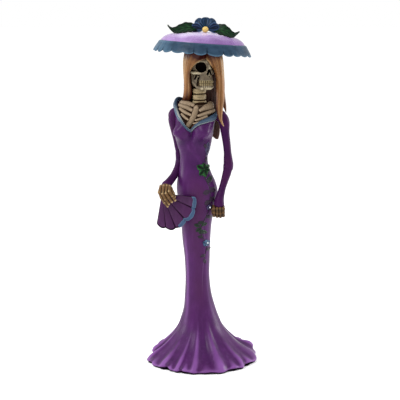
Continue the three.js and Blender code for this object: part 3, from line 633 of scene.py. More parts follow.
def make_gown():
    angles = np.linspace(-np.pi, np.pi, 300, endpoint=False)
    rows = np.r_[np.linspace(0, 0.16, 60), np.linspace(0.16, 1, 190)[1:]]
    height = 0.9 + (gown_top(angles)[None, :] - 0.9) * rows[:, None]
    outer = gown_point(height, angles[None, :])
    wall = lerp(HEM_WALL, WALL, smooth(0, 30, height))
    inner = gown_point(height, angles[None, :], -wall)
    inner[..., 2] += 0.35 * (1 - smooth(0, 12, height))
    lip = (outer[0] + inner[0]) / 2 + [0, 0, -0.5]
    rim = (outer[-1] + inner[-1]) / 2 + [0, 0, 0.3]
    shape = looped(np.concatenate([inner[::-1], lip[None], outer, rim[None]]))
    piece("gown", shape, PURPLE, "gown_purple", ["gown_shell"], 8, 0.6, *gown_paint(shape[0]))


def gown_paint(v):
    """Redder paint down the middle; darker paint over the upper body; painted highlights down the skirt and
    low on the hem; painted shadow along the hem's bottom edge.
    """
    z = v[:, 2]
    angle = np.arctan2(v[:, 0] - station(z)[0], -v[:, 1])
    middle = bell(angle - 0.05, 0.4) * smooth(50, 90, z) * (1 - smooth(200, 240, z))
    tone = 0.8 * middle + 0.25 * ripple(*v.T, 26)
    # Bands down the skirt that take a painted highlight: a strong one on the fan side, a weaker one on the
    # free side.
    skirt_highlight = bell(angle + 0.9, 0.12) + 0.5 * bell(angle - 0.85, 0.1)
    shade = 0.09 * smooth(110, 190, z) - 0.22 * skirt_highlight * smooth(36, 60, z) * (1 - smooth(140, 180, z))
    # A painted highlight low on the skirt, and painted shadow along the bottom edge of the hem.
    shade = shade - 0.05 * (1 - smooth(16, 44, z)) + 0.3 * (1 - smooth(1.2, 3, z - hem_lift(angle)))
    return np.clip(tone, 0, 1), shade, 0.43 * smooth(150, 200, z)


def make_hem_shadow():
    """The dark edge under the hem, which the figure stands on: part the dark underside of the paper and part
    painted shadow beneath the hem.
    """
    angle = np.linspace(-np.pi, np.pi, 300, endpoint=False)
    rings = []
    for height, inset in ((0.3, 4.6), (0.3, 1.4), (2.6, 1.2), (5.6, 3.4), (5.6, 5)):
        p = gown_point(3.2 + 0 * angle, angle, -inset)
        p[:, 2] = height
        rings.append(p)
    shape = looped(np.array(rings))
    piece("hem_shadow", shape, SHADOW, "core_paper", [], 6, 0.5)


def make_collar():
    """A rolled band round the neckline with painted highlights along its inner and outer edges."""
    section = np.array([[0.2, -0.8], [-0.4, 0.9], [0.2, 2.3], [1.6, 2.6], [3.8, 2.1], [6, 2.0], [7.5, 1.5],
                        [7.7, 0], [3, -0.9]])  # margin from the neckline, height off the gown
    loop = spline(section, 32, closed=True)
    steps = np.arange(280)
    around = steps / len(steps)
    taper = 0.84 + 0.06 * smooth(0, 0.12, np.minimum(around, 1 - around)) + 0.1 * bell(around - 0.32, 0.08)
    uneven = 1 + 0.05 * np.sin(steps * 0.31) + 0.04 * np.sin(steps * 0.13 + 1)
    low = (0.55 + 0.45 * np.minimum(taper, 1.2))[:, None]
    rings = []
    for margin, height in loop:
        line = gown_hit(neck_rays(margin * taper * uneven, len(steps)))
        rings.append(line + gown_normal(line, 1.5) * height * low)
    rings = np.stack(rings, 1)
    rings[..., 2] += 2.6 * bell(around - 0.35, 0.07)[:, None]
    around = around[:, None]
    # Painted highlights on the raised top of the band: along the inner edge on the fan side and the outer
    # edge on the free side.
    inner = 1.5 * bell(loop[:, 0] + 0.1, 0.6) * (1 - smooth(0.17, 0.26, around))
    outer = 0.6 * bell(loop[:, 0] - 7.2, 0.5) * smooth(0.6, 0.8, around)
    tone = ((inner + outer) * (loop[:, 1] > 0.4)).ravel()
    piece("collar", looped(rings), COLLAR, "collar_blue", ["collar_fan_side", "collar_free_side"], 6, 0.5,
          np.clip(tone, 0, 1))


def wrinkled(spots):
    """Ring-shaped creases: each spot is where along the limb, which way round, and how deep."""
    def shape(angle, t):
        s = np.ones_like(angle)
        for at, turn, depth, width in spots:
            slant = at + 0.018 * np.cos(angle - turn)
            s = s + depth * bell(t - slant, width) * (0.4 + 0.6 * np.cos((angle - turn) / 2) ** 2)
        return s
    return shape


def make_sleeves():
    free = [[17, -1, 290.5, 5.2], [21.6, -2.6, 287.6, 6.8], [25.4, -4, 281, 6.4], [26.8, -4, 269, 5],
            [28.6, -4, 256, 4.5], [29.8, -4, 244, 4.5], [30.6, -3, 232, 5.8], [29.2, -4.5, 223.5, 5.1],
            [26.4, -7, 214, 4.4], [23.8, -9.8, 206, 4], [21.6, -12, 198, 4.5], [20.2, -13.4, 192, 5.4],
            [19.9, -13.8, 188, 6]]
    fan = [[-27.6, 5, 293.4, 5], [-30.8, 7.2, 289, 7.4], [-31.4, 8.6, 281, 7], [-30.2, 10, 270, 5.6],
           [-28.4, 11, 258, 4.4], [-26.4, 11.4, 245, 4.2], [-25.8, 10, 233, 4.9], [-28.4, 3, 225, 4.6],
           [-33, -5, 217.5, 4.4], [-38, -12.6, 212, 4.9], [-40.6, -16, 209.6, 5.4]]
    creases = [(0.1, 1, -0.05, 0.012), (0.15, 3, -0.05, 0.012), (0.44, 2, 0.05, 0.012),
               (0.48, 4, -0.06, 0.01), (0.52, 1, 0.05, 0.012), (0.57, 5, -0.05, 0.012),
               (0.66, 2, -0.03, 0.014), (0.8, 3, 0.04, 0.012)]
    for name, stations in (("sleeve_free", free), ("sleeve_fan", fan)):
        shape = limb(stations, 56, 150, wrinkled(creases))
        tone = 0.3 + 0.3 * ripple(*shape[0].T, 14)
        piece(name, shape, SHADED_PURPLE, "gown_purple", [name + "_side"], 12, 0.4, np.clip(tone, 0, 1), 0.2, 0.42)


# ---------------------------------------------------------------- bones
CHEST_BONES = [  # [x, z, half width] along each bone
    [[-6.6, 297.6, 3.7], [-8.6, 291, 3.8], [-12, 284, 3.5], [-15, 278, 3.1]],
    [[-27, 301, 2.2], [-19.4, 298.8, 2.6], [-12.6, 295.6, 2]],
    [[-28, 305.6, 2.4], [-19, 304, 2.7], [-11, 301.4, 2.2]],
    [[-1.6, 295.4, 2], [5, 298.6, 3.6], [13, 301, 4.2], [20, 302.8, 3.8]],
    [[-13.6, 290, 1.3], [-19.4, 292.4, 2], [-26, 296, 2.1]],
    [[-16.4, 284.8, 1.1], [-19.8, 286.8, 1.6], [-24, 290, 1.6]],
    [[-3.8, 289.2, 1.4], [2, 290.8, 2], [10.4, 293.2, 2.2], [16, 294.6, 2]],
    [[-7, 284.2, 1.2], [-1.8, 285.6, 1.6], [6, 288, 1.7]],
    [[-10, 280.2, 1], [-6.6, 281, 1.2], [-1, 282.8, 1.2]],
]


def neck_foot(p):
    """The rise of the shoulders that carries the neck."""
    return rod(p, (-1.8, -2.4, 296), (-2.6, -0.6, 301.5), 10.6, 7.6)


def make_chest():
    """Rounded bones on the upper body, with painted shade in the grooves between them."""
    paths = []
    for bone in CHEST_BONES:
        s = spline(bone, 10)
        paths.append(np.c_[on_front(s[:, 0], s[:, 1], -0.5 - s[:, 2]), s[:, 2]].tolist())

    def field(p):
        x, y, z = p
        cx = station(z)[0]
        f = np.hypot(x - cx, y) - (gown_radius(z, np.arctan2(x - cx, -y)) - 2.3)
        f = -blend(-f, -(z - 299.6), 2.0)
        f = -blend(-f, -(266 - z), 1.0)
        f = blend(f, neck_foot(p), 3.0)
        for path in paths:
            f = blend(f, chain(p, path), 0.15)
        return f

    v, faces = skin_of(field, (-34, -24, 264), (20, 19, 307), 0.42)
    off_bone = np.min([chain(v.T, path) for path in paths], 0)
    off_neck, height = neck_foot(v.T), v[:, 2]
    # Painted shade in the grooves between the bones, kept off the neck's foot, and round the top of the foot
    # under the neck.
    gap = smooth(-0.12, 0.2, off_bone)
    gap = gap * np.maximum(smooth(0.3, 1.0, off_neck), 1 - smooth(293, 297, height))
    gap = np.maximum(gap, smooth(298.3, 299.1, height) * smooth(1.2, 0.3, off_neck))
    nodes = ["sternum", "clavicle_fan_side", "clavicle_free_side", "rib_fan_side_1", "rib_fan_side_2",
             "rib_free_side_1", "rib_free_side_2", "rib_free_side_3"]
    piece("chest_bones", (v, faces), CHEST, "bone_paint", nodes, 5, 0.35, gap)


NECK_EDGE = [[2.95, 0], [5.6, 0], [7.2, 0.05], [7.9, 0.22], [7.9, 0.5], [7.9, 0.78], [7.2, 0.95], [5.8, 1],
             [2.95, 1]]  # radius, share of the height


def make_neck():
    """Three rounded, slightly uneven discs with dark gaps between them, their edges lighter as part wear and
    part painted highlight.
    """
    angle = np.linspace(0, 2 * np.pi, 72, endpoint=False)
    edge = spline(NECK_EDGE, 40)
    for i in range(3):
        low = NECK["foot"] + i * NECK["pitch"] + 0.2
        high = low + NECK["height"] + 0.2
        r = edge[:, :1] + 0.2 * ripple(3 * np.cos(angle), 3 * np.sin(angle), edge[:, 1:] * 6 + 5 * i, 2.2)
        r = r - 0.25 * i + 0.3 * bell(angle - 3.9, 0.5)
        z = low + np.clip(edge[:, 1:], 0, 1) * (high - low) + 0.35 * np.sin(angle + i)
        rings = polar(r, angle, z) + [NECK["x"], 0, 0]
        name = "neck_vertebra_%d" % (i + 1)
        piece("neck_bone_%d" % (i + 1), looped(rings), NECKBONE, "bone_paint", [name], 10, 0.35)


def to_head(v):
    """From the head's own frame, which looks towards -y, to its place on the neck."""
    return rotate(v, 2, HEAD["turn"]) + [HEAD["x"], HEAD["y"], 0]


def skull_solid(p):
    """Cranium, brow, face, muzzle, nose bridge and cheekbones, in the head's own frame."""
    f = ball(p, (0, 2, 349), CRANIUM)
    for s in (-1, 1):
        f = carve(f, ball(p, (s * 16, -2, 346), (1.6, 5, 5)), 2)
        f = blend(f, rod(p, (s * 3, -12.8, 349.8), (s * 11, -8.2, 349.6), 1.9, 1.6), 1.6)
    f = blend(f, ball(p, (0, -5.4, 339.6), (9, 9, 9.6)), 3)
    muzzle = np.maximum(rod(p, (0, -7, 339), (0, -7.3, 329), 7.4, 8.7), 328.6 - p[2])
    f = blend(f, muzzle, 2.4)
    f = blend(f, ball(p, (8.8, -8.6, 341), (3.2, 3.2, 5.4)), 2)
    f = blend(f, rod(p, (0, -12.8, 348), (0, -15.8, 341.6), 1.7, 1.2), 1.4)
    for s in (-1, 1):
        cheek = [[s * 4.6, -13.2, 338.4, 1.2], [s * 8.8, -9.6, 337, 2], [s * 12, -3, 336.9, 1.5],
                 [s * 13, 3, 337.6, 1.2]]
        f = blend(f, chain(p, cheek), 1.2)
        f = blend(f, ball(p, (s * 9.4, -3, 330.4), (1.7, 5.4, 5)), 1.0)
    return f + 0.1 * ripple(*p, 3)


def tunnels(p, start, end, r, way):
    """A slot from start to end, sunk along a direction."""
    f = None
    for t in np.linspace(0, 1, 5):
        c = lerp(np.array(start, float), np.array(end, float), t)
        hole = rod(p, c - 5 * way, c + 3 * way, r, r)
        f = hole if f is None else np.minimum(f, hole)
    return f


SOCKETS = {-1: ((-8.9, -11, 343.6), (6.1, 8, 5.8)), 1: ((12.4, -6.8, 344), (3.6, 6, 4.8))}  # centre, radii


def face_holes(p):
    """Sockets, the nose opening, the slots under each cheekbone and the small hole near the lip."""
    f = ball(p, (-0.6, -16, 333), (0.8, 1.8, 0.8))
    for s in (-1, 1):
        inward = np.array([-s * 0.62, 0.78, 0])
        holes = [
            ball(p, *SOCKETS[s]),
            tunnels(p, (s * 0.8, -15.6, 340), (s * 2.3, -14.6, 335.8), 1.3, np.array([0, 1, 0])),
            tunnels(p, (s * 9.6, -3.4, 334.4), (s * 10.2, -1.4, 330.4), 1.0, inward),
            tunnels(p, (s * 8.9, -6, 331.2), (s * 8.9, -4.2, 323.6), 1.15, inward),
        ]
        for hole in holes:
            f = np.minimum(f, hole)
    return f


def skull_field(p):
    """The skull with its openings, in the head's own frame."""
    return carve(skull_solid(p), face_holes(p), 0.4)


TOOTH_STEP = math.radians(14.5)
TEETH_Y, TEETH_R = -7.2, 8.5  # centre and radius of the arc of the teeth


def tooth_place(k):
    t = k * TOOTH_STEP
    return TEETH_R * math.sin(t), TEETH_Y - TEETH_R * math.cos(t)


def teeth_field(p, low, high):
    """A row of separate teeth on an arc, in front of a thin gum, with painted shade between the teeth."""
    gum = np.abs(np.hypot(p[0], p[1] - TEETH_Y) - TEETH_R + 0.7) - 0.5
    f = np.maximum(gum, np.abs(p[2] - (low + high) / 2) - 1.6)
    for k in range(-5, 6):
        x, y = tooth_place(k)
        f = np.minimum(f, rod(p, (x, y, low + 0.8), (x, y, high - 0.8), 0.78, 0.86))
    return f


# Painted shade in the gaps between the teeth.
def between_teeth(v):
    turn = np.arctan2(v[:, 0], TEETH_Y - v[:, 1]) / TOOTH_STEP
    return 0.9 * smooth(0.36, 0.48, np.abs(turn - np.round(turn)))


def jaw_solid(p):
    """Chin, sides and the swollen roots of the lower teeth."""
    body = ball(p, (0, -7.2, 323.4), (9, 9, 6.2))
    body = np.maximum(np.maximum(body, p[2] - 322.9), p[1] + 7)
    f = blend(body, ball(p, (0.6, -13.6, 320.2), (4.4, 2.8, 2.4)), 1.6)
    f = -blend(-f, -(317.6 - p[2]), 1.2)
    for s in (-1, 1):
        side = [[s * 11, 2.6, 336, 1.5], [s * 11.2, 0, 327, 1.9], [s * 9.9, -6, 321.2 + (s > 0), 2],
                [s * 7.4, -10.4, 320 + (s > 0), 1.9]]
        f = blend(f, blend(chain(p, side), ball(p, (s * 10.4, -1, 328.6), (1.8, 5, 7)), 1), 1)
    for k in range(-5, 6):
        f = blend(f, ball(p, (*tooth_place(k), 321.6), (0.9, 0.9, 1.3)), 0.5)
    return f + 0.08 * ripple(*p, 2.4)


def jaw_holes(p):
    f = ball(p, (-6.2, -14.4, 319.8), (0.8, 1.8, 0.8))
    return np.minimum(f, face_holes(p))


def jaw_field(p):
    return carve(jaw_solid(p), jaw_holes(p), 0.3)


def bone_highlights(v):
    """Painted highlights on the bone: chin, cheekbones, nose bridge, brow and muzzle."""
    x, y, z = v.T
    lit = bell(z - 319.4, 1.6) * smooth(-9, -12, y) + bell(z - 337.6, 1.6) * smooth(9, 12, np.abs(x))
    lit = lit + 0.8 * bell(x + 1, 1.4) * bell(z - 342, 3) * smooth(-10, -12, y)
    return lit + 0.5 * bell(z - 352, 2.4) * smooth(-4, -9, y) + 0.35 * bell(z - 333, 3) * smooth(-9, -13, y)


def make_head():
    bones = [("skull_bone", skull_field, (-16, -20, 323), (16, 19, 366), "skull", face_holes),
             ("jaw_bone", jaw_field, (-15, -21, 313), (15, 8, 340), "jaw", jaw_holes)]
    for name, field, low, high, node, holes in bones:
        v, faces = skin_of(field, low, high, 0.36)
        # The holes are black without gloss, part black paint and part painted shade; the rest of the bone is
        # a little darker and takes the painted highlights.
        piece(name, (to_head(v), faces), BONE, "bone_paint", [node], 10, 0.5, smooth(0.4, 0, holes(v.T)),
              0.08 - 0.4 * bone_highlights(v))
    for row, low, high in (("upper", 325.5, 329), ("lower", 322.6, 325)):
        field = lambda p: teeth_field(p, low, high)
        v, faces = skin_of(field, (-11, -18, low - 1), (11, -6, high + 1), 0.22)
        piece("teeth_" + row, (to_head(v), faces), TOOTH, "teeth_paint", [row + "_teeth"], 8, 0.4,
              between_teeth(v))


# ---------------------------------------------------------------- hair
FAN_HAIR = [[-7, -4, 366.4, 11, 14], [-8.6, -4.6, 358, 11.4, 14.6], [-11.6, -4.4, 350.6, 9.4, 12.8],
            [-14.2, -3.4, 342, 6.8, 10.6], [-15.6, -2, 333, 5.1, 8.6], [-15.4, 0, 323, 4.8, 7.2],
            [-15.8, 2, 313, 5.2, 6.2], [-17.4, 5, 305, 4.9, 5], [-18, 8, 298, 2.4, 3]]
FREE_HAIR = [[12.6, -4.6, 366.4, 9.4, 13.4], [13.8, -5, 358, 9.4, 14], [16.6, -5.6, 350, 7.8, 12],
             [19, -6.4, 341, 6, 9.4], [20.4, -7, 332, 5.1, 7.6], [20.8, -8, 321, 5, 6],
             [20.6, -10, 308, 4.8, 5.2], [20.2, -12.5, 297, 3.7, 4.2], [20.8, -14.8, 286, 2.2, 2.6],
             [24.8, -15.8, 277, 0.6, 0.8]]
BACK_HAIR = [[1, 7, 366.4, 17, 11], [1, 8, 358, 20, 13], [1, 9, 346, 21, 13], [1, 11, 330, 21, 11],
             [1, 14, 314, 21, 8.6], [2, 17.4, 302, 20, 6.6], [5, 18.6, 290, 17.5, 5.8],
             [10, 19.6, 276, 11.5, 5], [15, 20.4, 265, 6, 4], [17.8, 20.4, 258.6, 1.6, 1.6]]
# inner edge of each front lock as [height, x]: the arch of hair that frames the face
FAN_EDGE = [[360, 6.2], [353.2, 6.2], [352.2, 3], [350.6, -1.9], [347.2, -7.2], [344, -10], [340.4, -12],
            [336, -13], [326, -12.2], [320, -11.4], [310, -11], [296, -10.6]]
FREE_EDGE = [[360, 5.4], [352.6, 5.4], [349.8, 7.8], [345, 10.6], [339.8, 12.9], [333, 14.8], [325, 15.2],
             [314, 15.4], [295, 16.2], [283, 18.6], [276, 22]]


def along(table, z, column):
    """A column of a table of stations at height z."""
    height = 0 if len(table[0]) == 2 else 2
    fine = spline(table, 120)
    fine = fine[np.argsort(fine[:, height])]
    return np.interp(z, fine[:, height], fine[:, column])


def hank_parts(stations, x, y, z):
    """Where points stand in a hank: across, front to back (1 at its skin), and its smaller half width."""
    cx, cy, a, b = (along(stations, z, k) for k in (0, 1, 3, 4))
    return (x - cx) / a, (y - cy) / b, np.minimum(a, b)


def hank_field(p, stations):
    x, y, z = p
    u, w, size = hank_parts(stations, x, y, z)
    f = (np.hypot(u, w) - 1) * size
    tip, top = stations[-1], stations[0]
    return np.maximum(np.maximum(f, z - top[2]), tip[2] - z)


def cap_field(p, grow):
    """A skin of hair over the brow, which follows the skull under it."""
    x, y, z = p
    c, s = math.cos(math.radians(HEAD["turn"])), math.sin(math.radians(HEAD["turn"]))
    dx, dy = x - HEAD["x"], y - HEAD["y"]
    local = (c * dx + s * dy, -s * dx + c * dy, z)
    return ball(local, (0, 1, 349.6), tuple(r + grow for r in CRANIUM))


def lock_field(stations, edge, side):
    def field(p):
        x, _, z = p
        f = blend(hank_field(p, stations), np.maximum(cap_field(p, 3.2), 336 - z + 0 * x), 2.0)
        return -blend(-f, side * (x - along(edge, z, 1)), 1.2)
    return field


def combed(v, stations, depth, seed, fine):
    """Vertices pushed in and out into strands, with the tone of each strand."""
    rng = np.random.default_rng(seed)
    u, w, _ = hank_parts(stations, *v.T)
    around = np.arctan2(w, u)
    z = v[:, 2] / 40
    push, tone = 0, 0
    for k, strength in ((4, 1.3), (7, 1.1), (12, 0.7), (fine, 0.4), (2 * fine, 0.22)):
        phase, drift, sway = rng.uniform(0, 6.28), rng.uniform(-2, 2), rng.uniform(0.5, 1.5)
        wave = np.cos(k * around + phase + drift * z + sway * np.sin(2.2 * z + phase))
        push = push + depth * strength * wave
        tone = tone + 0.13 * strength * np.cos(k * around + 1.7 * phase + drift * z)
    away = np.c_[u, w, 0 * u]
    away /= np.maximum(np.linalg.norm(away, axis=1, keepdims=True), 1e-6)
    fade = smooth(stations[-1][2], stations[-1][2] + 14, v[:, 2])
    return v + away * (push * fade)[:, None], 0.4 + tone + 0.4 * ripple(3 * u, 3 * w, 3 * z, 1.6)


def make_lock(name, stations, edge, side, low, high, seed):
    """A front lock: dark red under the hat, part its own colour and part painted shade from the hat; painted
    shade along its inner edge; a painted highlight on its outer side.
    """
    v, faces = skin_of(lock_field(stations, edge, side), low, high, 0.55)
    v, tone = combed(v, stations, 0.15, seed, 21)
    height = v[:, 2]
    inward = np.abs(v[:, 0] - along(edge, height, 1))
    # Painted shade along the inner edge of the lock, next to the face, below the hat.
    rim = (1 - smooth(0.5, 4, inward)) * (1 - smooth(336, 346, height))
    # Darker red under the hat, part the hair's colour and part painted shade; then a dark red streak, and
    # darker red low on the fan-side lock.
    red_and_hat_shade = 1.2 * smooth(348, 359, height)
    red_and_hat_shade = red_and_hat_shade + 0.8 * bell(v[:, 0] + 4 + 0.7 * (height - 356), 2.6) * smooth(350, 355, height)
    red_and_hat_shade = red_and_hat_shade + 0.8 * (1 - smooth(300, 326, height)) * (side < 0)
    # A painted highlight along the outer side of the lock, on its upper part.
    outer_highlight = smooth(0.35, 0.95, side * hank_parts(stations, *v.T)[0]) * smooth(322, 336, height)
    tone = np.clip(tone * 0.7 - 0.16 + red_and_hat_shade + 0.7 * rim - 0.5 * outer_highlight, 0, 1)
    piece("hair_lock_" + name, (v, faces), HAIR, "hair_auburn", ["hair_%s_side" % name], 8, 0.45, tone,
          -0.3 * outer_highlight)


def make_hair():
    make_lock("fan", FAN_HAIR, FAN_EDGE, -1, (-23, -22, 295), (8, 14, 367), 3)
    make_lock("free", FREE_HAIR, FREE_EDGE, 1, (2, -22, 275), (30, 14, 367), 5)
    strand = limb([[22.5, -3.5, 322, 3], [24, -3, 308, 3], [25.8, -3.4, 300.5, 2.2], [27, -3.8, 295.5, 1.2],
                   [27.8, -4, 291.5, 0.3]], 40, 60)
    piece("hair_under_strand", strand, HAIR, "hair_auburn", ["hair_free_side"], 6, 0.3,
          0.8 + 0 * strand[0][:, 0])
    # The hair behind the head takes the darker copy of the hair paint as painted shade.
    v, faces = skin_of(lambda p: hank_field(p, BACK_HAIR), (-22, -8, 257), (24, 27, 367), 0.7)
    v = combed(v, BACK_HAIR, 0.22, 8, 31)[0]
    piece("hair_fall", (v, faces), SHADED_HAIR, "hair_dark", ["hair_back"], 8, 0.4)


# ---------------------------------------------------------------- hat
def to_hat(v):
    """From the hat's own frame to its tilted place on the head."""
    return rotate(v, 1, HAT["tilt"]) + [HAT["x"], 0, HAT["z"]]


def make_hat():
    R, h = HAT["rim"], HAT["dome"]
    top = [[0.05, h], [9, h - 0.3], [20, h - 1.4], [R - 16, 10.3], [R - 9, 8.4], [R - 4, 5.8], [R - 1, 2.8],
           [R - 0.2, 0.9]]
    under = [[R - 0.9, -0.1], [R - 3.4, 0.6], [R - 8, 3], [R - 18, 6.2], [18, 8.6], [0.05, 9.6]]
    rings = turned(spline(top + under, 110), 180)
    rings[..., 2] += 0.22 * ripple(rings[..., 0], rings[..., 1], rings[..., 2], 11)
    v, faces = lofted(rings)
    x, y = v[:, 0], v[:, 1]
    # Painted shade: darker towards the rim and over the free side (+x), less where the painted highlight
    # lies.
    tone = smooth(30, 47, np.hypot(x, y)) * (0.34 + 0.4 * smooth(-20, 30, x))
    shine = bell(x + 16, 13) * bell(y + 26, 9) + 0.6 * bell(x - 12, 12) * bell(y + 20, 8)
    piece("hat_crown", (to_hat(v), faces), LILAC, "hat_lilac", ["hat_dome"], 10, 0.5,
          tone * (1 - 0.6 * shine), -0.42 * shine)
    lining = [[0.05, -0.5], [20, -0.5], [R - 1, -0.6], [R - 0.6, -1.2], [R - 1, -1.7], [20, -1.6],
              [0.05, -1.6]]
    v, faces = lofted(turned(spline(lining, 60), 120))
    piece("hat_underside", (to_hat(v), faces), LINING, "hat_lining", ["hat_lining"], 12, 0.25)


def make_ruffle():
    """A crimped frill: rounded lobes with sharp notches between them, painted shade in the notches and on the
    underside, and a painted highlight at the fan-side end.
    """
    rim, n = HAT["rim"], HAT["crimps"]
    angle = np.linspace(0, 2 * np.pi, n * 24, endpoint=False)
    warped = angle + 0.035 * np.sin(3 * angle + 1) + 0.03 * np.sin(7 * angle)
    lobe = (np.abs(np.cos(n / 2 * warped)) ** 0.6 - 0.55) * (1 + 0.3 * np.sin(5 * angle + 2))
    across = np.linspace(0, 1, 28)[:, None]
    line = spline([[rim - 0.6, 1.6], [rim + 1.4, 0.8], [rim + 3.4, -2.4], [rim + 5.6, -5.8],
                   [rim + 7.2, -9]], len(across))
    fine = 0.1 * np.cos(2 * n * warped + 1)
    r = line[:, :1] + (1.5 * lobe + fine) * across**1.2
    z = line[:, 1:] - across**2 * (2.6 * lobe + 0.3)
    outer = polar(r, angle, z)
    thick = 1.7 - 0.6 * across
    inner = polar(r - thick, angle, z - 0.5 * across)
    lip = (outer[-1] + inner[-1]) / 2 + [0, 0, -0.5]
    rings = np.concatenate([outer, lip[None], inner[::-1]])
    v, faces = looped(np.swapaxes(rings, 0, 1))
    # Painted shade in the notches between the lobes, uneven along the frill.
    notch = 0.75 * smooth(-0.1, -0.5, lobe) * smooth(0.45, 1, across)
    notch = notch + 0.3 * ripple(9 * np.cos(angle), 9 * np.sin(angle), 6 * across, 1.3)
    notch = np.clip(notch, 0, 1)
    # The inner face of the frill is wholly in painted shade.
    tone = np.concatenate([notch, notch[-1:], np.ones((len(across), len(angle)))])
    # A painted highlight at the fan-side end of the frill.
    fan_side_highlight = -0.34 * smooth(-26, -48, v[:, 0])
    piece("hat_frill", (to_hat(v), faces), RUFFLE, "ruffle_blue", ["hat_ruffle"], 8, 0.35,
          tone.T.ravel(), fan_side_highlight)


# ---------------------------------------------------------------- flower and leaves on the hat
def petal_shape(heel, angle, long, wide, lean):
    """A rounded, cupped petal with a crease down its middle and fine veins."""
    t = np.linspace(0, 1, 34)[:, None]
    u = np.linspace(-1, 1, 29)[None, :]
    rounded = np.sqrt(np.clip(1 - (np.clip(t - 0.55, 0, 1) / 0.452) ** 2.4, 0, 1))
    x = wide * (0.3 + 0.85 * smooth(0, 0.62, t)) * rounded * u
    z = long * t * (1 - 0.07 * smooth(0.7, 1, t) * bell(u, 0.25))
    veins = 0.16 * np.cos(9 * u * np.pi / 2) * np.sin(np.pi * t) * (1 - u**2)
    crease = 0.5 * bell(u, 0.12) * (1 - t) ** 0.5
    y = lean * t**2 - 1.9 * u**2 * np.sin(np.pi * np.clip(0.9 * t + 0.1, 0, 1)) - veins + crease
    grid = np.stack([x, y + 0 * x, z + 0 * x], -1)
    v, faces = slab(grid, 1.3 * (1 - 0.6 * np.abs(u) ** 3) * (1 - 0.5 * t**4))
    return rotate(v, 1, angle) + heel, faces


def make_flower():
    x, y, z = FLOWER
    spots = [(4, 1.5, 3, 12.2, 5.5, 4), (-80, 1.5, -80, 14.4, 5.2, 2), (80, 1.5, 80, 14.4, 5.2, 2),
             (-40, 3, -43, 12.2, 4.8, 6), (42, 3, 45, 12.2, 4.8, 6)]
    for i, (way, out, angle, long, wide, lean) in enumerate(spots):
        a = math.radians(way)
        heel = [x + out * math.sin(a), y + 2.4 + (1.4 if i > 2 else 0), z + out * math.cos(a)]
        shape = petal_shape(heel, angle, long, wide, lean)
        away = np.linalg.norm(shape[0] - [x, y, z], axis=1)
        tone = (1 - smooth(3, 9, away)) * 0.5 + (0.45 if i in (0, 3, 4) else 0.05)
        piece("petal_%d" % (i + 1), shape, PETAL, "petal_blue", ["flower_petal_%d" % (i + 1)], 10, 0.2,
              np.clip(tone, 0, 0.8))

    def dimpled(p):
        f = ball(p, (x, y, z), (3.5, 3.2, 3.4))
        for k in range(30):
            t, h = 2.4 * k, 1 - 2 * (k + 0.5) / 30
            s = math.sqrt(1 - h * h)
            f = carve(f, ball(p, (x + 3.9 * s * math.cos(t), y + 3.6 * s * math.sin(t), z + 3.8 * h),
                              (0.62, 0.62, 0.62)), 0.2)
        return f

    piece("flower_bead", skin_of(dimpled, (-1, -20, 381), (9, -10, 391), 0.2), BEAD, "bead_yellow",
          ["flower_centre"], 8, 0.15)


def leaf_shape(stations):
    """A leaf along stations [x, y, z, half width, lean]: midrib, side veins, wavy edge, curled tip."""
    s = spline(stations, 60)
    u = np.linspace(-1, 1, 31)
    t = np.linspace(0, 1, 60)[:, None]
    veins, out = 6, np.abs(u)[None, :]
    ribs = 0.2 * np.sin(2 * np.pi * (veins * t - 1.3 * out)) * (out * (1 - out)) * 2.4
    rise = 1.3 * u**2 + ribs - 0.7 * bell(u, 0.07)[None, :] * (1 - t)
    wave = 1 + 0.05 * np.sin(2 * np.pi * veins * t + 1)
    half = s[:, 3:4] * wave
    lean = np.radians(s[:, 4:5])
    y = half * u[None, :] * np.cos(lean) - rise * np.sin(lean)
    z = half * u[None, :] * np.sin(lean) + rise * np.cos(lean)
    grid = np.stack([s[:, :1] + 0 * y, s[:, 1:2] + y, s[:, 2:3] + z], -1)
    v, faces = slab(grid, 1.1 * (1 - 0.55 * out**3) + 0 * t)
    edge = np.broadcast_to(smooth(0.55, 1, out), (60, 31))
    return v, faces, np.r_[np.concatenate([edge, edge], 1).ravel(), 1, 1]


def make_hat_leaves():
    fan = [[-5, -10, 386.4, 3.4, 42], [-11, -12, 387.2, 6.6, 46], [-18, -14, 387.2, 7.6, 48],
           [-25, -15.6, 385.4, 6.8, 46], [-31, -16.4, 384.2, 4.8, 40], [-35, -16.4, 386.2, 2.6, 30],
           [-38, -16, 390, 0.6, 20]]
    free = [[13.6, -10, 385, 3.6, 44], [19, -12, 385, 7.2, 50], [25.4, -14, 384.2, 8.2, 52],
            [31, -15.6, 381.2, 7, 50], [35.6, -16.4, 379, 4.6, 40], [39, -16.4, 380.4, 2.4, 30],
            [42, -16, 382.8, 0.6, 20]]
    for name, stations in (("leaf_fan", fan), ("leaf_free", free)):
        v, faces, tone = leaf_shape(stations)
        piece(name, (v, faces), LEAF, "leaf_green", ["hat_%s_side" % name], 8, 0.25, tone)


# ---------------------------------------------------------------- hands
KNUCKLE, SHAFT = 1.1, 0.94  # swelling of a finger bone at its ends and middle


def bony(p, fingers):
    """Fingers as rows of thin bones that swell at each joint."""
    f = None
    for stations in fingers:
        for a, b in zip(stations, stations[1:]):
            m = (np.array(a) + b) / 2
            bone = blend(rod(p, a[:3], m[:3], a[3] * KNUCKLE, m[3] * SHAFT),
                         rod(p, m[:3], b[:3], m[3] * SHAFT, b[3] * KNUCKLE), 0.3)
            f = bone if f is None else blend(f, bone, 0.25)
    return f


def hand_nodes(side):
    fingers = ["finger_%s_side_%d" % (side, k) for k in range(1, 5)]
    return ["palm_%s_side" % side, "thumb_%s_side" % side, *fingers]


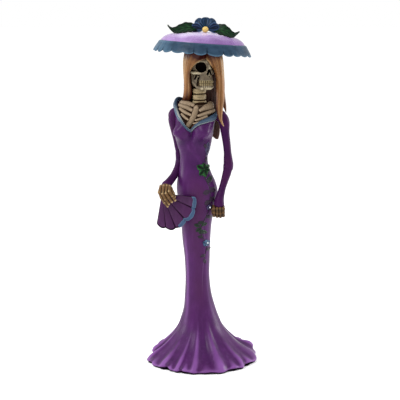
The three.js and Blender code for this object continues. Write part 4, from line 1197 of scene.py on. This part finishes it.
def make_fan_hand():
    y = -25
    fingers = [
        [[-46.4, y + 3, 209.4, 1.8], [-48, y, 203, 2], [-45.8, y, 196.6, 1.8], [-42.2, y - 0.4, 191.2, 1.7],
         [-39, y + 0.2, 186.8, 1.4]],
        [[-43.2, y + 2, 209.6, 1.8], [-44.4, y - 1, 201.4, 2], [-41.4, y - 1, 195, 1.8],
         [-37.6, y - 0.6, 189.6, 1.5]],
        [[-39.8, y + 2, 209.6, 1.8], [-40.8, y - 1, 202, 2], [-37.9, y - 1, 197, 1.8],
         [-34.2, y - 0.6, 192, 1.5]],
        [[-36.8, y + 2, 209.2, 1.7], [-37, y - 1, 204.2, 1.9], [-33.6, y - 1, 198.8, 1.7],
         [-30.4, y - 0.6, 193.8, 1.4]],
        [[-35, y + 3.4, 207.6, 1.5], [-32.2, y + 1.4, 201.4, 1.6], [-30.6, y + 2, 197.4, 1.2]],
    ]

    def field(p):
        f = ball(p, (-41.4, -20.6, 207.6), (6, 3, 4.6))
        f = blend(f, ball(p, (-40.8, -22.4, 201.4), (5.4, 1.7, 8)), 0.5)
        f = blend(f, bony(p, fingers), 0.5)
        for x in (-44.5, -41.4, -38.2):
            f = carve(f, rod(p, (x, y - 0.6, 210.4), (x - 0.8, y - 2.2, 203), 0.5, 0.6), 0.5)
        return f

    shape = skin_of(field, (-53, -31, 182), (-26, -14, 215), 0.3)
    piece("hand_on_fan", shape, HAND, "hand_bone", hand_nodes("fan"), 10, 0.28)


def make_free_hand():
    def curl(x, low):
        return [[x, -14.4, 184.8, 1.7], [x, -18.2, 182.6, 2], [x + 0.2, -19, low + 5, 1.7],
                [x + 0.2, -17.8, low + 1.4, 1.8], [x + 0.2, -13.6, low + 1.6, 1.5]]
    fingers = [curl(x, 172 + 0.9 * abs(i - 1.6)) for i, x in enumerate((14, 17.6, 21.2, 24.6))]
    fingers.append([[13.4, -11, 184, 1.7], [12.4, -14.6, 181, 1.7], [12.8, -17, 177, 1.4]])

    def field(p):
        f = ball(p, (19.6, -12.6, 179.6), (6.4, 3.6, 6.4))
        return blend(f, bony(p, fingers), 0.6)

    shape = skin_of(field, (8, -23, 168), (29, -7, 190), 0.3)
    piece("hand_hanging", shape, HAND, "hand_bone", hand_nodes("free"), 10, 0.32, shade=0.24)


# ---------------------------------------------------------------- fan
FAN_EDGES = [-10, 6, 21, 42, 66, 86]
FAN_REACH = [35.5, 39.5, 42.5, 40.2, 40, 37.4]
FAN_BULGE = [0.055, 0.055, 0.04, 0.08, 0.035]
FAN_FOLDS = [0, 1.6, 0, 1.8, 0, 1.4]


def fan_point(angle, r, out):
    x = FAN["x"] + r * np.sin(np.radians(angle))
    y = FAN["y"] - 0.2 * (x - FAN["x"]) - out
    return np.stack(np.broadcast_arrays(x, y, FAN["z"] - r * np.cos(np.radians(angle))), -1)


def scalloped(i, t):
    """Distance from the pivot to the rounded rim of leaf i, t from its lower edge to its upper one."""
    return lerp(FAN_REACH[i], FAN_REACH[i + 1], t) * (1 + FAN_BULGE[i] * np.sin(np.pi * t) ** 0.8)


def make_fan():
    """Pleats that bulge between fold lines darkened with painted shade, with rounded ends."""
    k = np.linspace(0.12, 1, 50)[:, None]
    t = np.linspace(0, 1, 41)[None, :]
    for i in range(5):
        angle = lerp(FAN_EDGES[i] + 0.25, FAN_EDGES[i + 1] - 0.25, t)
        plain = lerp(FAN_REACH[i], FAN_REACH[i + 1], t)
        r = k * lerp(plain, scalloped(i, t), smooth(0.7, 1, k))
        edge = bell(t, 0.055) + bell(1 - t, 0.055)
        out = (lerp(FAN_FOLDS[i], FAN_FOLDS[i + 1], t) + 0.9 * np.sin(np.pi * t) ** 0.7 - 0.7 * edge) * k
        v, faces = slab(fan_point(angle, r, out)[:, ::-1], 1.3)
        # Painted shade along the folds between the leaves, and a dark line along the rim of the three lower
        # leaves.
        line = np.clip(1.2 * edge[:, ::-1] + smooth(0.94, 0.98, k) * (i < 3), 0, 1)
        tone = np.r_[np.concatenate([line, line], 1).ravel(), 1, 1]
        node = "fan_leaf_%d" % (i + 1)
        piece("fan_pleat_%d" % (i + 1), (v, faces), FANNED, "fan_purple", [node], 8, 0.3, tone)


def make_fan_trim():
    """A wavy blue band over the rim of the upper leaves."""
    rows = []
    band = np.linspace(0, 1, 12)
    for i in (2, 3, 4):
        for t in np.linspace(0.3 if i == 2 else 0, 1, 40, endpoint=i == 4):
            angle = lerp(FAN_EDGES[i], FAN_EDGES[i + 1], t)
            wave = 0.7 * abs(math.sin(2 * np.pi * t)) + 0.3 * math.sin(5 * np.pi * t)
            inner = 3.5 + 0.5 * math.sin(9 * t + i)
            r = scalloped(i, t) - inner + (inner + 0.8 * wave) * band
            out = lerp(FAN_FOLDS[i], FAN_FOLDS[i + 1], t) + 1.5 * math.sin(np.pi * t) ** 0.7
            rows.append(fan_point(angle, r, out + 0.5 * np.sin(np.pi * band) + 0.2))
    piece("fan_edging", slab(np.array(rows), 1.0), FANBLUE, "fan_trim_blue", ["fan_trim"], 8, 0.2)


# ---------------------------------------------------------------- leaves and flowers on the gown
def gown_leaf(x, z, angle, long, wide, puff):
    """A small raised leaf that lies on the gown, pointing at an angle from +x towards +z."""
    t = np.linspace(0, 1, 16)[:, None]
    u = np.linspace(-1, 1, 11)[None, :]
    half = wide * 0.62 * np.sin(np.pi * np.clip(t, 0.03, 0.99)) ** 0.75
    c, s = math.cos(math.radians(angle)), math.sin(math.radians(angle))
    along, side = long * t + 0 * u, half * u
    px, pz = x + along * c - side * s, z + along * s + side * c
    height = 0.5 + puff * (1 - u**2) ** 0.6 * (0.5 + 0.5 * np.sin(np.pi * t)) - 0.35 * bell(u, 0.12)
    top = on_front(px, pz, height)
    base = on_front(px, pz, -0.6 + 0 * px)
    rings = np.concatenate([top, base[:, ::-1]], 1)
    v, faces = lofted(rings)
    return v, [f[::-1] for f in faces]


def gown_blossom(x, z, r):
    """Five small petals round a bead."""
    petals = []
    for k in range(5):
        way = 90 + 72 * k
        a = math.radians(way)
        petals.append(gown_leaf(x + 0.3 * math.cos(a), z + 0.3 * math.sin(a), way, r, r * 0.75, 1.6))
    arc = np.linspace(0, np.pi, 12)
    v, faces = lofted(turned(np.stack([np.sin(arc) + 1e-3, -np.cos(arc)], -1), 20))
    return joined([*petals, (v + on_front(x, z, 2.0), faces)])


def make_blossoms():
    for name, x, z, r, material in (("upper", 7.9, 184.2, 2.8, FADED), ("lower", 5, 141.6, 4, BLOSSOM)):
        v, faces = gown_blossom(x, z, r)
        tone = 1 - smooth(0.9, 1.5, np.linalg.norm(v - on_front(x, z, 2), axis=1))
        piece("blossom_%s_relief" % name, (v, faces), material, "blossom_blue", ["blossom_" + name], 6, 0.2,
              tone)


def make_waist_leaves():
    """A spray of six leaves at the waist."""
    leaves = [[150, 9.5, 5.4], [95, 7.5, 4.8], [35, 7.4, 4.8], [-20, 6.5, 4.6], [-75, 8.5, 5.2], [-130, 8, 5]]
    spray = joined([gown_leaf(2.5, 227, *leaf, 1.4) for leaf in leaves])
    piece("waist_spray", spray, LEAF, "leaf_green", ["waist_leaves"], 6, 0.2)


def stem_on_gown(route, steps, lift, radius):
    """A thin round stem along [x, z] points on the front of the gown."""
    s = spline(route, steps)
    return lofted(swept(on_front(s[:, 0], s[:, 1], lift), np.full(steps, radius), 10))


def make_vine():
    """A low relief stem that follows the edge of the wrapped panel, with single leaves and two clusters."""
    stem = stem_on_gown([[3.5, 218], [8.6, 207], [9.6, 196], [8.6, 182], [4, 171], [-1, 160], [1, 149],
                         [5, 141], [4.6, 131], [2, 122]], 120, 0.2, 0.45)
    high = stem_on_gown([[3, 229], [4.2, 238], [5.2, 248], [5.6, 256]], 50, -0.1, 0.5)
    leaves = [[7, 212, 60, 8, 4.6], [8.8, 206, -30, 8, 4.6], [9, 203, 200, 8, 4.4], [9.4, 196, -50, 8, 4.4],
              [8.8, 192, 220, 7, 4], [5, 173, -10, 7, 3.2], [2, 167, 190, 6.5, 3], [-1, 160, 215, 7, 3.4],
              [-0.6, 157, -30, 7.5, 3.4], [-2, 162, 160, 7, 3.4], [-1, 159, 260, 6.5, 3.2],
              [0, 163, 20, 6.5, 3.2], [1, 149, 170, 6, 2.8], [4.6, 133, 15, 6, 3], [4, 128, 200, 6, 3],
              [2.4, 123, 290, 6, 2.8], [4, 236, 70, 5, 2], [4.8, 246, 50, 5, 2], [5.4, 251, 110, 6.5, 3]]
    v, faces = joined([stem, high, *[gown_leaf(*leaf, 0.4) for leaf in leaves]])
    cluster = bell(v[:, 2] - 160, 8) + bell(v[:, 2] - 222, 6)
    tone = np.clip(0.75 - 0.75 * cluster, 0, 1)
    piece("bodice_leaf", gown_leaf(6.2, 243, 86, 16, 4.4, 0.3), FADED, "leaf_green", ["vine"], 6, 0.3)
    piece("vine_spray", (v, faces), VINE, "leaf_green", ["vine"], 6, 0.25, tone)


# ---------------------------------------------------------------- floor, light, camera
FLOOR_HALF = 40.0  # metres
EYE = (-0.002, -1.3, 0.4)  # where the camera stands, in metres
LOOK_DOWN = 9.18  # degrees
LENS = 102.2  # millimetres
LAMPS = [("key", (-0.9, -0.8, 1.6), 0.6, 16), ("left_strip", (-1.3, 0.2, 0.5), 0.6, 8),
         ("right_strip", (1.3, 0.35, 0.5), 0.6, 12)]  # name, place and width in metres, watts
AIM_HEIGHT = 0.22  # the lamps point at the middle of the figure


def make_stage():
    mesh = bpy.data.meshes.new("floor")
    corners = [(x * FLOOR_HALF, y * FLOOR_HALF, 0) for x, y in ((-1, -1), (1, -1), (1, 1), (-1, 1))]
    mesh.from_pydata(corners, [], [(0, 1, 2, 3)])
    floor = placed("floor", mesh)
    paper = bpy.data.materials.new("floor_paper")
    paper.use_nodes = True
    shader = paper.node_tree.nodes["Principled BSDF"]
    shader.inputs["Base Color"].default_value = (0.95, 0.95, 0.95, 1)
    shader.inputs["Roughness"].default_value = 0.9
    shader.inputs["Specular IOR Level"].default_value = 0.0
    shader.inputs["Emission Color"].default_value = (1, 1, 1, 1)
    shader.inputs["Emission Strength"].default_value = 0.12
    mesh.materials.append(paper)
    world = bpy.data.worlds.new("studio")
    world.use_nodes = True
    world.node_tree.nodes["Background"].inputs["Color"].default_value = (1, 1, 1, 1)
    world.node_tree.nodes["Background"].inputs["Strength"].default_value = 1.0
    bpy.context.scene.world = world
    for lamp in LAMPS:
        light(*lamp)
    bpy.context.scene.view_settings.view_transform = "Standard"


def light(name, place, size, power):
    data = bpy.data.lights.new(name, "AREA")
    data.shape, data.size, data.energy = "DISK", size, power
    obj = placed(name, data)
    obj.location = place
    aim = obj.location.copy()
    aim.z -= AIM_HEIGHT
    obj.rotation_mode = "QUATERNION"
    obj.rotation_quaternion = aim.to_track_quat("Z", "Y")


def make_camera():
    data = bpy.data.cameras.new("camera")
    data.sensor_width, data.lens = 36, LENS
    data.clip_end = 100
    cam = placed("camera", data)
    cam.location = EYE
    cam.rotation_euler = (math.radians(90 - LOOK_DOWN), 0, 0)
    bpy.context.scene.camera = cam


for name, material in (("base_board", WOOD), ("spine_dowel", WOOD), ("ballast_plaster", LINING),
                       ("torso_core", SHADED_HAIR)):
    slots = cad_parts[name].data.materials
    slots.clear()
    slots.append(material)

make_gown()
make_hem_shadow()
make_collar()
make_sleeves()
make_chest()
make_neck()
make_head()
make_hair()
make_hat()
make_ruffle()
make_flower()
make_hat_leaves()
make_fan_hand()
make_free_hand()
make_fan()
make_fan_trim()
make_waist_leaves()
make_vine()
make_blossoms()
make_stage()
make_camera()
